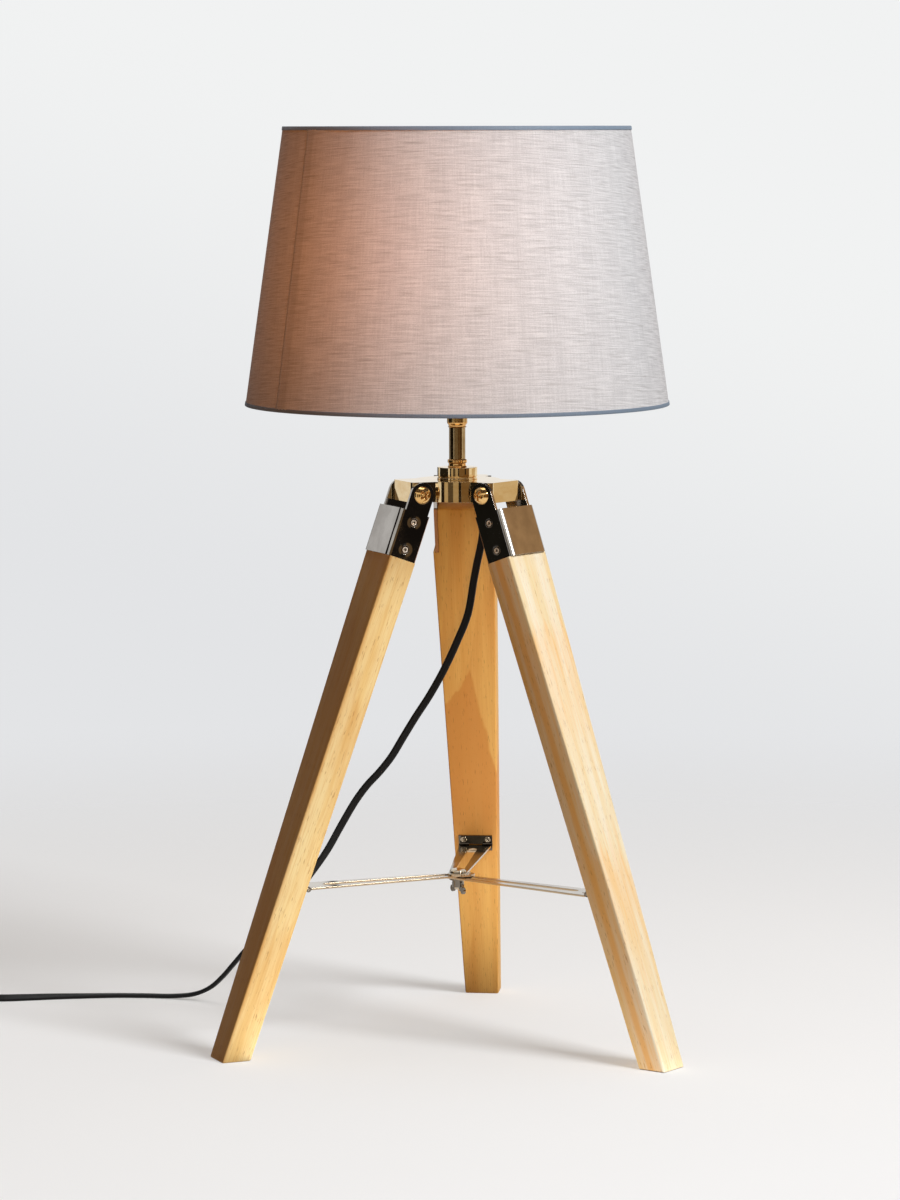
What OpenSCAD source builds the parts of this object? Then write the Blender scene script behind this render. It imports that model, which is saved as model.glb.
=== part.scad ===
// Tripod table lamp: three tapered pine legs hinged under a cast metal hub, slotted
// spreader stays that lock on a wing nut, and a tapered drum shade on a short stem.
// The lamp's axis is Z, the surface it stands on is z = 0, and the back leg lies on +Y.

/* [Stance] */
// Length of a leg from its pivot to the middle of its foot
leg_len = 416; // [300:1:600]
// Lean of the legs from upright with the tripod open, in degrees
lean = 19.5; // [14:0.5:24]
// Distance of each leg's pivot from the lamp's axis
pivot_r = 35.5; // [34:0.5:45]
// Angle that the legs fold in by, in degrees
fold = 18; // [8:1:18]

/* [Legs] */
// Thickness of a leg, measured in towards the lamp's axis
leg_t = 20; // [16:0.5:26]
// Width of a leg at its head
leg_head_w = 46; // [43:0.5:56]
// Width of a leg at its foot
leg_foot_w = 25; // [18:0.5:40]
// Rounding of a leg's long edges
leg_ease = 1; // [0.5:0.1:2]
// Distance from the pivot down to the end of the wood
leg_head = 13; // [11:0.5:18]

/* [Leg brackets] */
// Thickness of the brackets' plate
plate_t = 2.5; // [1.5:0.1:3]
// Length of a bracket's channel along the leg
bracket_len = 34; // [30:1:50]
// Outer radius of the brackets' two bends
bend_r = 3.4; // [3:0.1:5]
// Radius of the ears that turn on the hub
ear_r = 8.7; // [7:0.1:9.8]
// Gap between an ear and the hub's arm
ear_gap = 0.5; // [0.3:0.1:1]
// Distance from the end of the wood to the first side screw
side_screw_at = 7.2; // [5:0.1:10]
// Distance between the two side screws
side_screw_pitch = 19.8; // [12:0.1:22]
// Radius of the side screws' heads
side_screw_head_r = 3; // [2:0.1:4]
// Radius of the wood screws' shanks
wood_screw_r = 1.5; // [1:0.1:1.8]
// Length of the side screws
side_screw_len = 13; // [8:0.5:16]

/* [Pivot screws] */
// Radius of the pivot screws' shoulders
pivot_screw_r = 3; // [2:0.1:4]
// Radius of their domed heads
pivot_head_r = 6.2; // [5:0.1:8]
// Height of their domed heads
pivot_head_h = 3.8; // [2:0.1:5]
// Length that they are screwed into the hub's arm
pivot_grip = 10; // [6:0.5:14]
// Radius of the washers between ear and arm
pivot_washer_r = 5.6; // [5:0.1:7]

/* [Hub] */
// Height of the hub casting
hub_h = 14.2; // [12:0.1:20]
// Radius of the round middle of the hub
hub_r = 30; // [28:0.5:31]
// Width of the hub's arms
arm_w = 35; // [30:0.5:37]
// Reach of the arms from the lamp's axis
arm_len = 42; // [40:0.5:50]
// Radius of the arms' upright corners
arm_corner_r = 3.5; // [1:0.1:6]
// Height of the pivots above the hub's underside
pivot_up = 5.4; // [4.8:0.1:7]
// Radius of the hollow under the hub
pocket_r = 21.5; // [21.5:0.5:22]
// Depth of the hollow under the hub
pocket_h = 9; // [8.5:0.1:10.5]
// Radius of the cover under the hub
cover_r = 26; // [24.5:0.5:26.5]
// Thickness of the cover under the hub
cover_t = 1.5; // [1:0.1:1.8]
// Radius of the cover's screws
cover_screw_r = 1; // [0.8:0.1:1.2]
// Radius of their flush heads
cover_screw_head_r = 1.8; // [1.5:0.1:2]
// Length of the cover's screws
cover_screw_len = 6; // [4:0.5:10]
// Radius of the round boss on the hub
boss_r = 14.1; // [10:0.1:18]
// Height of the boss
boss_h = 8.6; // [5:0.1:14]
// Height of the boss's foot, below its groove
boss_foot_h = 1.2; // [0.6:0.1:2]
// Height and depth of the groove round the boss
boss_groove = 0.7; // [0.4:0.1:1]

/* [Stem] */
// Radius of the threaded rod
rod_r = 5; // [4:0.1:5.2]
// Radius of the wire way through the rod
rod_bore_r = 3.4; // [2:0.1:3.6]
// Radius of the stem's cover tube
tube_r = 5.8; // [5.7:0.1:8]
// Length of the cover tube
tube_len = 22.4; // [10:0.1:80]
// Radius of the bead on the lower collar
collar_r = 7.1; // [6.8:0.1:10]
// Height of the lower collar's neck
collar_neck_h = 2.6; // [1:0.1:6]
// Height of the lower collar's bead
collar_bead_h = 3; // [2:0.1:5]
// Height of the flared collar at the top of the tube
flare_h = 4; // [3:0.1:8]
// Radius of the flared collar's mouth
flare_r = 7.2; // [6.8:0.1:10]

/* [Lampholder] */
// Outer radius of the lampholder
holder_r = 19.5; // [18.5:0.1:24]
// Height of the lampholder's threaded neck
holder_neck_h = 4; // [3:0.5:8]
// Height of the cone between the neck and the lampholder's wall
holder_cone_h = 6.6; // [4:0.1:10]
// Height of the straight wall of the lampholder's cap
holder_wall_h = 11.4; // [9:0.1:20]
// Height of the plain part of the lampholder's body
holder_body_h = 16; // [12:0.5:24]
// Radius of the body's outer thread, which takes the shade ring
holder_thread_r = 16.8; // [16:0.1:18]
// Height of the body's outer thread
holder_thread_h = 18; // [12:0.5:24]
// Thickness of the cap's wall
holder_wall = 1.2; // [0.8:0.1:2]
// Radius of the ring nut that clamps the shade
shade_ring_r = 25; // [22:0.5:30]
// Height of the ring nut
shade_ring_h = 7; // [4:0.5:10]
// Height of the insulator's collar inside the lampholder's body
insert_rise = 4; // [2:0.5:8]
// Length of rod that stands into the lampholder
rod_in = 8; // [6.5:0.5:10]
// Radius of the push switch's bar
switch_r = 2.1; // [1.5:0.1:3]
// Reach of the switch's bar past the lampholder where it is pushed in
switch_end = 2; // [1:0.5:6]
// Travel of the push switch
switch_travel = 6; // [3:0.5:8]

/* [Bulb] */
// Radius of the bulb's screw cap
bulb_cap_r = 13.2; // [13:0.1:13.3]
// Height of the bulb's screw cap
bulb_cap_h = 24; // [22:0.5:28]
// Length of the bulb's straight neck above its cap
bulb_neck_h = 4; // [3.5:0.5:10]
// Radius of the bulb's globe
globe_r = 30; // [25:0.5:32]
// Height of the globe's middle above the cap
globe_up = 52; // [46:0.5:70]
// Wall of the globe
globe_wall = 1; // [0.8:0.1:2]

/* [Shade] */
// Radius of the shade's lower edge
shade_low_r = 150; // [120:1:180]
// Radius of the shade's upper edge
shade_top_r = 122.6; // [100:0.1:150]
// Height of the shade
shade_h = 195; // [140:1:260]
// Thickness of the shade's laminate
skin_t = 0.9; // [0.6:0.1:2]
// Radius of the wire of the shade's frame
wire_r = 1.5; // [1:0.1:2.5]
// Distance from the shade's lower edge up to its fitter
fitter_rise = 26; // [15:1:50]
// Width of the fitter's plate round the lampholder
fitter_w = 7.5; // [6:0.5:12]
// Thickness of the fitter's plate
fitter_t = 1.5; // [1:0.1:3]
// Height of the hem tapes on the outside
hem_h = 3.5; // [2:0.1:10]
// Height of the hem tapes on the inside
hem_in_h = 7; // [4:0.1:15]
// Thickness of the hem tapes
hem_t = 0.4; // [0.3:0.05:0.8]

/* [Stays] */
// Distance of the stays' hinge pins from the legs' pivots
stay_at = 286.5; // [240:0.5:300]
// Thickness of the stays
stay_t = 1.4; // [1:0.1:1.6]
// Gap between the stays where they cross
stay_gap = 0.15; // [0.1:0.05:0.3]
// Width of a stay at its hinge
stay_root_w = 24; // [18:0.5:28]
// Width of a stay at its tip
stay_tip_w = 13; // [11:0.5:16]
// Reach of a stay past the centre bolt
stay_past = 12.4; // [11:0.1:16]
// Width of the slot in a stay
slot_w = 6.4; // [6.2:0.1:8]
// Distance from the hinge pin to the slot's outer end
slot_from = 16; // [14:0.5:24]
// Radius of the hinge knuckles
knuckle_r = 2; // [1.6:0.1:2.6]
// Radius of the hinge pins
hinge_pin_r = 0.9; // [0.7:0.1:1.2]
// Width of the hinges
hinge_w = 25; // [20:0.5:25]
// Width of the stays' own knuckles
eye_w = 9.6; // [6:0.1:12]
// Height of the leaf that is screwed to the leg
leaf_h = 9.5; // [8:0.1:16]
// Thickness of that leaf
leaf_t = 1.2; // [0.8:0.1:1.8]
// Distance between the leaf's two screws
leaf_screw_pitch = 17.6; // [12:0.1:18]
// Radius of the leaf screws' heads
leaf_screw_head_r = 2.4; // [1.8:0.1:2.8]
// Length of the leaf screws
leaf_screw_len = 11; // [6:0.5:14]

/* [Centre bolt] */
// Radius of the centre bolt
bolt_r = 2.5; // [2:0.1:2.6]
// Radius of the bolt's domed head
bolt_head_r = 5.8; // [4.5:0.1:8]
// Height of the bolt's domed head
bolt_head_h = 2.8; // [2:0.1:4]
// Radius of the washer under the stays
centre_washer_r = 6.2; // [5:0.1:9]
// Thickness of that washer
centre_washer_t = 1; // [0.6:0.1:1.6]
// Radius of the wing nut's barrel
nut_r = 4.2; // [3.6:0.1:6]
// Height of the wing nut's barrel
nut_h = 5; // [3:0.1:8]
// Reach of each wing from the bolt's axis
wing_reach = 9.6; // [8:0.1:14]
// Height of the wings
wing_h = 7; // [4:0.1:9]
// Thickness of the wings
wing_t = 1.8; // [1:0.1:3]

/* [Lead] */
// Width of the flat twin lead
lead_w = 5.4; // [4:0.1:8]
// Thickness of the flat twin lead
lead_t = 3.2; // [2.4:0.1:5]
// Distance of the lead's grommet from the lamp's axis
gland_r = 19.6; // [17:0.1:19.6]
// Length of the grommet's tapered sleeve
sleeve_len = 20; // [20:1:40]
// Radius of the two ways in the coil that the lead is put away in
coil_r = 32.6; // [32:0.1:40]
// Clear gap between one turn of the coil and the next
turn_gap = 0.6; // [0.5:0.05:1.5]
// Turns in the coil, counted to where its end leaves it
coil_turns = 6.25; // [5.25:1:8.25]
// Length of the straight tail between the coil and the plug
tail_len = 24; // [22:1:40]
// Thickness of the coil's ties
tie_t = 0.8; // [0.5:0.1:1.2]
// Width of the coil's ties
tie_w = 9; // [6:0.5:14]

/* [Plug] */
// Width of the flat plug
plug_w = 35.3; // [30:0.1:36]
// Height of the flat plug
plug_h = 13.7; // [12:0.1:15]
// Length of the plug's body
plug_len = 34; // [28:1:40]
// Length of the tapered sleeve behind the plug
plug_sleeve = 20; // [20:1:30]
// Length of the plug's pins
plug_pin_len = 19; // [16:0.5:20]
// Radius of the plug's pins
plug_pin_r = 2; // [1.8:0.1:2.4]
// Distance between the plug's pins
plug_pin_pitch = 18.6; // [17:0.1:19]

/* [Hidden] */
$fn = 64;

// Bearing of each leg, and the level of its stay in the stack of three
back = 90;
left = back + 120;
right = back + 240;
level = [1, 0, -1];

over = 1;            // how far a cutter runs past the face that it cuts
play = 0.1;          // clearance of a still part round the one that it holds
pin_play = 0.06;     // radial clearance of a turning pin
side_play = 0.2;     // clearance beside a turning knuckle

// Levels up the lamp's axis
pivot_z = leg_len * cos(lean);
hub_z = pivot_z - pivot_up;
hub_top = hub_z + hub_h;
boss_top = hub_top + boss_h;
tube_z = boss_top + collar_neck_h + collar_bead_h;
flare_z = tube_z + tube_len;
holder_z = flare_z + flare_h;
holder_wall_z = holder_z + holder_neck_h + holder_cone_h;
holder_body_z = holder_wall_z + holder_wall_h;
shoulder_z = holder_body_z + holder_body_h;
holder_top = shoulder_z + holder_thread_h;
shade_z = shoulder_z - fitter_rise;

// The channel of a bracket, seen along the leg
channel_in = arm_w / 2 + ear_gap;
channel_out = channel_in + plate_t;

// The stays' pins, measured from the leg's middle plane and in the room
pin_in = leg_t / 2 + knuckle_r + side_play;
pin_z = pivot_z - stay_at * cos(lean) - pin_in * sin(lean);
stay_reach = pivot_r + stay_at * sin(lean) - pin_in * cos(lean);
stay_step = stay_t + stay_gap;
stack_h = 3 * stay_t + 2 * stay_gap;

// The bulb's seat in the lampholder
contact_r = 3;
contact_h = 1.4;
bulb_tip_r = 4.5;
bulb_tip_h = 1.2;
bulb_ease = 1;       // the lampholder's bore round the bulb's cap
neck_step = 0.4;     // the bulb's neck over its cap

// The hub's hollow, and what runs through it
pocket_top = hub_z + pocket_h;
nut_flats = 1.7 * rod_r;
nut_thick = 4;
lead_core_r = 1.6;
lead_core_z = hub_z + cover_t + lead_core_r + play;
gland_bearing = 30;
gland_at = [gland_r * cos(gland_bearing), gland_r * sin(gland_bearing)];
gland_neck_r = 4.2;
gland_flange_r = 5.6;
gland_flange_h = 1.4;
gland_end_r = lead_w / 2 + 0.5;

// ---------------------------------------------------------------- shared shapes

// Places a piece in a leg's own frame: the pivot at the origin, the leg down -Z,
// and its outer face towards +X.
module on_leg(bearing)
    rotate([0, 0, bearing]) translate([pivot_r, 0, pivot_z]) rotate([0, -lean, 0]) children();

// Places a piece at a stay's hinge pin, level, with the stay running along +X
// to the lamp's axis.
module on_stay(bearing)
    rotate([0, 0, bearing]) translate([stay_reach, 0, pin_z]) rotate([0, 0, 180]) children();

// A straight tube or ring on Z.
module pipe(r_out, r_in, h)
    difference() {
        cylinder(r = r_out, h = h);
        translate([0, 0, -over]) cylinder(r = r_in, h = h + 2 * over);
    }

// A domed screw head, flat side down at z = 0.
module dome(r, h) {
    ball = (r * r + h * h) / (2 * h);
    intersection() {
        translate([0, 0, h - ball]) sphere(r = ball);
        cylinder(r = r, h = h);
    }
}

// A countersunk wood screw, its flush head's top at z = 0 and its shank down -Z.
module wood_screw(head_r, len) {
    translate([0, 0, -head_r * 0.5]) cylinder(r1 = wood_screw_r, r2 = head_r, h = head_r * 0.5);
    translate([0, 0, -len]) cylinder(r = wood_screw_r, h = len - head_r * 0.5);
}

// The way that its shank cuts in the wood.
module wood_way(len) translate([0, 0, -len]) cylinder(r = wood_screw_r, h = len);

// The hole that such a screw sits in.
module wood_screw_hole(head_r, t) {
    translate([0, 0, -head_r * 0.5])
        cylinder(r1 = wood_screw_r + play, r2 = head_r + play, h = head_r * 0.5 + play / 2);
    translate([0, 0, -t - over]) cylinder(r = wood_screw_r + play, h = t + over);
}

// ---------------------------------------------------------------- legs

function leg_w(s) = leg_head_w + (leg_foot_w - leg_head_w) * (s - leg_head) / (leg_len - leg_head);

// The tapered board with eased edges, before its head is notched and its foot cut.
module leg_board(s_from, s_to)
    hull()
        for (s = [s_from, s_to], x = [-1, 1], y = [-1, 1])
            translate([x * (leg_t / 2 - leg_ease), y * (leg_w(s) / 2 - leg_ease), -s])
                cylinder(r = leg_ease, h = 0.01, $fn = 16);

module leg(bearing)
    color("burlywood") on_leg(bearing)
        difference() {
            leg_board(leg_head, leg_len + leg_t);
            // the head is notched on both sides, so the bracket's cheeks lie nearly flush
            for (side = [-1, 1])
                translate([-leg_t, side > 0 ? channel_in : -channel_in - leg_head_w, -leg_head - bracket_len])
                    cube([2 * leg_t, leg_head_w, bracket_len + over]);
            side_screws_on() wood_way(side_screw_len);
            leaf_screws_on() wood_way(leaf_screw_len);
            // the foot is cut level with the surface
            rotate([0, lean, 0])
                translate([-leg_len, -leg_head_w, -pivot_z - leg_len])
                    cube([2 * leg_len, 2 * leg_head_w, leg_len]);
        }

// ---------------------------------------------------------------- leg brackets

module channel_outline() {
    w = 2 * channel_out;
    x0 = -leg_t / 2;
    depth = leg_t + plate_t;
    difference() {
        union() {
            translate([x0, -w / 2]) square([depth - bend_r, w]);
            translate([x0, -w / 2 + bend_r]) square([depth, w - 2 * bend_r]);
            for (side = [-1, 1])
                translate([x0 + depth - bend_r, side * (w / 2 - bend_r)]) circle(r = bend_r);
        }
        translate([x0 - over, -channel_in]) square([leg_t + over, 2 * channel_in]);
    }
}

// Places a piece at each of the four screws in a bracket's cheeks, in the leg's frame.
module side_screws_on()
    for (side = [-1, 1], i = [0, 1])
        translate([0, side * channel_out, -leg_head - side_screw_at - i * side_screw_pitch])
            rotate([-90 * side, 0, 0]) children();

module bracket(bearing)
    color([0.46, 0.43, 0.41]) on_leg(bearing)
        difference() {
            union() {
                translate([0, 0, -leg_head - bracket_len]) linear_extrude(bracket_len) channel_outline();
                for (side = [-1, 1])
                    translate([0, side * (channel_in + plate_t / 2), 0]) rotate([90, 0, 0]) {
                        cylinder(r = ear_r, h = plate_t, center = true);
                        translate([0, -(leg_head + over) / 2, 0])
                            cube([2 * ear_r, leg_head + over, plate_t], center = true);
                    }
            }
            rotate([90, 0, 0])
                cylinder(r = pivot_screw_r + pin_play, h = 2 * channel_out + 2 * over, center = true);
            side_screws_on() wood_screw_hole(side_screw_head_r, plate_t);
        }

module bracket_screws(bearing)
    color([0.62, 0.58, 0.52]) on_leg(bearing)
        side_screws_on() wood_screw(side_screw_head_r, side_screw_len);

// ---------------------------------------------------------------- hub

module hub_outline() {
    circle(r = hub_r);
    for (bearing = [back, left, right]) rotate(bearing) {
        translate([0, -arm_w / 2]) square([arm_len - arm_corner_r, arm_w]);
        translate([0, -arm_w / 2 + arm_corner_r]) square([arm_len, arm_w - 2 * arm_corner_r]);
        for (side = [-1, 1])
            translate([arm_len - arm_corner_r, side * (arm_w / 2 - arm_corner_r)]) circle(r = arm_corner_r);
    }
}

module hub()
    color([0.85, 0.7, 0.42])
        difference() {
            translate([0, 0, hub_z]) linear_extrude(hub_h) hub_outline();
            translate([0, 0, hub_z - over]) cylinder(r = pocket_r, h = pocket_h + over);
            translate([0, 0, hub_z - over]) cylinder(r = cover_r, h = cover_t + over);
            translate([0, 0, hub_z]) cylinder(r = rod_r + play, h = hub_h + over);
            for (bearing = [back, left, right]) rotate([0, 0, bearing])
                translate([pivot_r, 0, pivot_z]) rotate([90, 0, 0])
                    cylinder(r = pivot_screw_r, h = arm_w + 2 * over, center = true);
            cover_screws_on() cylinder(r = cover_screw_r, h = cover_screw_len);
        }

// Places a piece at each of the three screws in the cover's rim.
module cover_screws_on()
    for (bearing = [back, left, right]) rotate([0, 0, bearing])
        translate([(pocket_r + cover_r) / 2, 0, hub_z]) children();

module hub_cover()
    color([0.85, 0.7, 0.42])
        difference() {
            translate([0, 0, hub_z]) cylinder(r = cover_r - play, h = cover_t);
            translate([gland_at[0], gland_at[1], hub_z - over])
                cylinder(r = gland_neck_r + play, h = cover_t + 2 * over);
            cover_screws_on() {
                cylinder(r = cover_screw_r + play, h = cover_t + over);
                translate([0, 0, -over]) cylinder(r = cover_screw_head_r + play, h = cover_t / 2 + over);
            }
        }

module cover_screws()
    color([0.85, 0.7, 0.42])
        cover_screws_on() {
            cylinder(r = cover_screw_r, h = cover_screw_len);
            cylinder(r = cover_screw_head_r, h = cover_t / 2);
        }

module hub_nut()
    color("gainsboro") translate([0, 0, pocket_top - nut_thick])
        difference() {
            cylinder(r = nut_flats / cos(30), h = nut_thick, $fn = 6);
            translate([0, 0, -over]) cylinder(r = rod_r + pin_play, h = nut_thick + 2 * over);
        }

module hub_boss()
    color([0.85, 0.7, 0.42])
        translate([0, 0, hub_top])
            difference() {
                cylinder(r = boss_r, h = boss_h);
                translate([0, 0, boss_foot_h]) pipe(boss_r + over, boss_r - boss_groove, boss_groove);
                translate([0, 0, -over]) cylinder(r = rod_r + play, h = boss_h + 2 * over);
            }

module pivot_screws()
    color([0.85, 0.7, 0.42])
        for (bearing = [back, left, right], side = [-1, 1]) rotate([0, 0, bearing])
            translate([pivot_r, side * (channel_out + play), pivot_z]) rotate([-90 * side, 0, 0]) {
                dome(pivot_head_r, pivot_head_h);
                translate([0, 0, -(plate_t + ear_gap + play + pivot_grip)])
                    cylinder(r = pivot_screw_r, h = plate_t + ear_gap + play + pivot_grip);
            }

module pivot_washers()
    color("ivory")
        for (bearing = [back, left, right], side = [-1, 1]) rotate([0, 0, bearing])
            translate([pivot_r, side * arm_w / 2, pivot_z]) rotate([-90 * side, 0, 0])
                pipe(pivot_washer_r, pivot_screw_r + play, ear_gap - play);

// ---------------------------------------------------------------- stem

module threaded_rod()
    color("goldenrod")
        translate([0, 0, pocket_top - nut_thick])
            pipe(rod_r, rod_bore_r, holder_z + rod_in - pocket_top + nut_thick);

module lower_collar()
    color([0.76, 0.55, 0.27])
        translate([0, 0, boss_top])
            difference() {
                union() {
                    cylinder(r = collar_r - 0.8, h = collar_neck_h);
                    translate([0, 0, collar_neck_h]) cylinder(r = collar_r - 0.8, h = collar_bead_h);
                    translate([0, 0, collar_neck_h + collar_bead_h / 2])
                        rotate_extrude() translate([collar_r - collar_bead_h / 2, 0])
                            circle(r = collar_bead_h / 2, $fn = 32);
                }
                translate([0, 0, -over])
                    cylinder(r = rod_r + play, h = collar_neck_h + collar_bead_h + 2 * over);
            }

module stem_tube()
    color([0.62, 0.47, 0.3]) translate([0, 0, tube_z]) pipe(tube_r, rod_r + play, tube_len);

module upper_collar()
    color([0.76, 0.55, 0.27])
        translate([0, 0, flare_z])
            difference() {
                union() {
                    cylinder(r1 = tube_r + 0.2, r2 = flare_r, h = flare_h * 0.7);
                    translate([0, 0, flare_h * 0.7]) cylinder(r = flare_r, h = flare_h * 0.3);
                }
                translate([0, 0, -over]) cylinder(r = rod_r + play, h = flare_h + 2 * over);
            }

// ---------------------------------------------------------------- lampholder

insert_z = holder_wall_z + holder_wall;
switch_z = (insert_z + holder_body_z) / 2;
shell_z = holder_body_z + insert_rise;
holder_bore_r = bulb_cap_r + bulb_ease;

module holder_cap()
    color([0.8, 0.62, 0.32])
        translate([0, 0, holder_z])
            difference() {
                union() {
                    cylinder(r = flare_r, h = holder_neck_h);
                    translate([0, 0, holder_neck_h])
                        cylinder(r1 = flare_r, r2 = holder_r, h = holder_cone_h);
                    translate([0, 0, holder_neck_h + holder_cone_h])
                        cylinder(r = holder_r, h = holder_wall_h);
                }
                translate([0, 0, holder_neck_h + holder_wall])
                    cylinder(r1 = flare_r - holder_wall, r2 = holder_r - holder_wall, h = holder_cone_h);
                translate([0, 0, holder_neck_h + holder_cone_h + holder_wall])
                    cylinder(r = holder_r - holder_wall, h = holder_wall_h);
                translate([0, 0, -over]) cylinder(r = rod_r + pin_play, h = holder_neck_h + holder_wall + 2 * over);
                translate([0, 0, switch_z - holder_z]) rotate([90, 0, 0])
                    cylinder(r = switch_r + play, h = 3 * holder_r, center = true);
            }

module holder_body()
    color("whitesmoke")
        translate([0, 0, holder_body_z])
            difference() {
                union() {
                    cylinder(r = holder_r, h = holder_body_h);
                    translate([0, 0, holder_body_h]) cylinder(r = holder_thread_r, h = holder_thread_h);
                }
                translate([0, 0, -over])
                    cylinder(r = holder_bore_r, h = holder_body_h + holder_thread_h + 2 * over);
            }

module holder_insert()
    color("linen")
        difference() {
            union() {
                translate([0, 0, insert_z])
                    cylinder(r = holder_r - holder_wall - play * 2, h = holder_body_z - insert_z);
                translate([0, 0, holder_body_z]) cylinder(r = holder_bore_r - play, h = shell_z - holder_body_z);
            }
            // the way of the switch bar
            translate([0, 0, switch_z]) rotate([90, 0, 0])
                cylinder(r = switch_r + 2 * play, h = 3 * holder_r, center = true);
        }

module holder_shell()
    color("gold")
        translate([0, 0, shell_z])
            pipe(holder_bore_r - play, bulb_cap_r + play, bulb_cap_h);

module holder_contact()
    color("gold") translate([0, 0, shell_z]) cylinder(r = contact_r, h = contact_h);

module switch_bar()
    color("black")
        translate([0, holder_r + switch_end + switch_travel, switch_z]) rotate([90, 0, 0])
            cylinder(r = switch_r, h = 2 * (holder_r + switch_end) + switch_travel);

module shade_ring()
    color("whitesmoke")
        translate([0, 0, shoulder_z + fitter_t])
            pipe(shade_ring_r, holder_thread_r + play, shade_ring_h);

// ---------------------------------------------------------------- bulb

bulb_z = shell_z + contact_h;
cap_top = bulb_z + bulb_tip_h + bulb_cap_h;
globe_z = cap_top + globe_up;
neck_r = bulb_cap_r + neck_step;

module bulb_cap()
    color("silver") translate([0, 0, bulb_z]) {
        cylinder(r = bulb_tip_r, h = bulb_tip_h);
        translate([0, 0, bulb_tip_h]) cylinder(r = bulb_cap_r, h = bulb_cap_h);
    }

// The bulb's outline at a distance inside its face: a ball on a cone that meets it
// where their sides run together, and a straight neck down to the cap.
module globe_form(inset) {
    drop = globe_up - bulb_neck_h;
    tangent = asin((globe_r - neck_r) / drop);
    translate([0, 0, globe_z]) sphere(r = globe_r - inset);
    translate([0, 0, globe_z - drop])
        cylinder(r1 = neck_r - inset, r2 = (globe_r - inset) * cos(tangent), h = drop - globe_r * sin(tangent));
    translate([0, 0, cap_top]) cylinder(r = neck_r - inset, h = bulb_neck_h);
}

module bulb_globe()
    color("lightyellow")
        difference() {
            globe_form(0);
            globe_form(globe_wall);
        }

// ---------------------------------------------------------------- shade

// Radius of the shade's outer face at a height above its lower edge
function shade_r(up) = shade_low_r + (shade_top_r - shade_low_r) * up / shade_h;

// A ring of laminate or tape that follows the shade's cone between two heights,
// lying between two distances inside its outer face.
module cone_band(up_from, up_to, in_from, in_to)
    translate([0, 0, shade_z]) rotate_extrude($fn = 96)
        polygon([
            [shade_r(up_from) - in_from, up_from], [shade_r(up_to) - in_from, up_to],
            [shade_r(up_to) - in_to, up_to], [shade_r(up_from) - in_to, up_from]
        ]);

skin_in = hem_t + play;                   // the laminate's outer face, inside the hems' outer face
wire_in = skin_in + skin_t + play + hem_t + play;  // the frame's wires, inside the hem's inner band

module shade_skin()
    color([0.52, 0.5, 0.48])
        cone_band(hem_t + play, shade_h - hem_t - play, skin_in, skin_in + skin_t);

module hem(up_edge, up_out, up_in, up_turn) {
    cone_band(min(up_edge, up_out), max(up_edge, up_out), 0, hem_t);
    cone_band(min(up_edge, up_in), max(up_edge, up_in), wire_in - play - hem_t, wire_in - play);
    cone_band(min(up_edge, up_turn), max(up_edge, up_turn), 0, wire_in - play);
}

module shade_hem_bottom() color([0.55, 0.6, 0.66]) hem(0, hem_h, hem_in_h, hem_t);

module shade_hem_top()
    color([0.55, 0.6, 0.66]) hem(shade_h, shade_h - hem_h, shade_h - hem_in_h, shade_h - hem_t);

module wire_ring(up)
    translate([0, 0, shade_z + up]) rotate_extrude($fn = 96)
        translate([shade_r(up) - wire_in - wire_r, 0]) circle(r = wire_r, $fn = 24);

low_ring_up = wire_r + hem_t;

// The fitter's flat ring, and three spokes that fall from it to the lower wire ring.
module shade_frame() {
    spoke_in = holder_r + fitter_w - wire_r;
    spoke_out = shade_r(low_ring_up) - wire_in - wire_r;
    high = fitter_rise + fitter_t / 2;
    drop = high - low_ring_up;
    color("ghostwhite") {
        translate([0, 0, shoulder_z])
            pipe(holder_r + fitter_w, holder_thread_r + play, fitter_t);
        for (bearing = [back - 60, back + 60, back + 180]) rotate([0, 0, bearing])
            translate([spoke_in, 0, shade_z + high])
                rotate([0, 90 + atan2(drop, spoke_out - spoke_in), 0])
                    cylinder(r = wire_r - play, h = norm([spoke_out - spoke_in, drop]) - wire_r - play / 2);
    }
}

module shade_low_ring() color("ghostwhite") wire_ring(low_ring_up);

module shade_top_ring() color("ghostwhite") wire_ring(shade_h - low_ring_up);

// ---------------------------------------------------------------- stays

knuckle_half = (hinge_w - eye_w) / 2 - side_play;
leaf_screw_up = leaf_h - leaf_screw_head_r - 1;

// Places a piece at each of the two screws in a hinge's leaf, in the leg's frame.
module leaf_screws_on()
    for (side = [-1, 1])
        translate([-leg_t / 2 - leaf_t, side * leaf_screw_pitch / 2, leaf_screw_up - stay_at])
            rotate([0, -90, 0]) children();

// The fixed half of a stay's hinge: a leaf on the leg's inner face and two knuckles.
module stay_hinge(bearing)
    color([0.5, 0.47, 0.44]) on_leg(bearing)
        difference() {
            translate([0, 0, -stay_at]) {
                translate([-leg_t / 2 - leaf_t, -hinge_w / 2, 0]) cube([leaf_t, hinge_w, leaf_h]);
                for (side = [-1, 1]) translate([-pin_in, side * (hinge_w - knuckle_half) / 2, 0]) {
                    rotate([90, 0, 0]) cylinder(r = knuckle_r, h = knuckle_half, center = true);
                    translate([0, -knuckle_half / 2, 0])
                        cube([pin_in - leg_t / 2 - play, knuckle_half, knuckle_r]);
                }
            }
            translate([-pin_in, 0, -stay_at]) {
                rotate([90, 0, 0]) cylinder(r = hinge_pin_r, h = hinge_w + 2 * over, center = true);
                // the stay's own knuckle turns in the gap
                translate([-knuckle_r - over, -eye_w / 2 - side_play, -knuckle_r - over])
                    cube([2 * knuckle_r + side_play + over, eye_w + 2 * side_play, 2 * knuckle_r + 1.5 * over]);
            }
            leaf_screws_on() wood_screw_hole(leaf_screw_head_r, leaf_t);
        }

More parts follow.
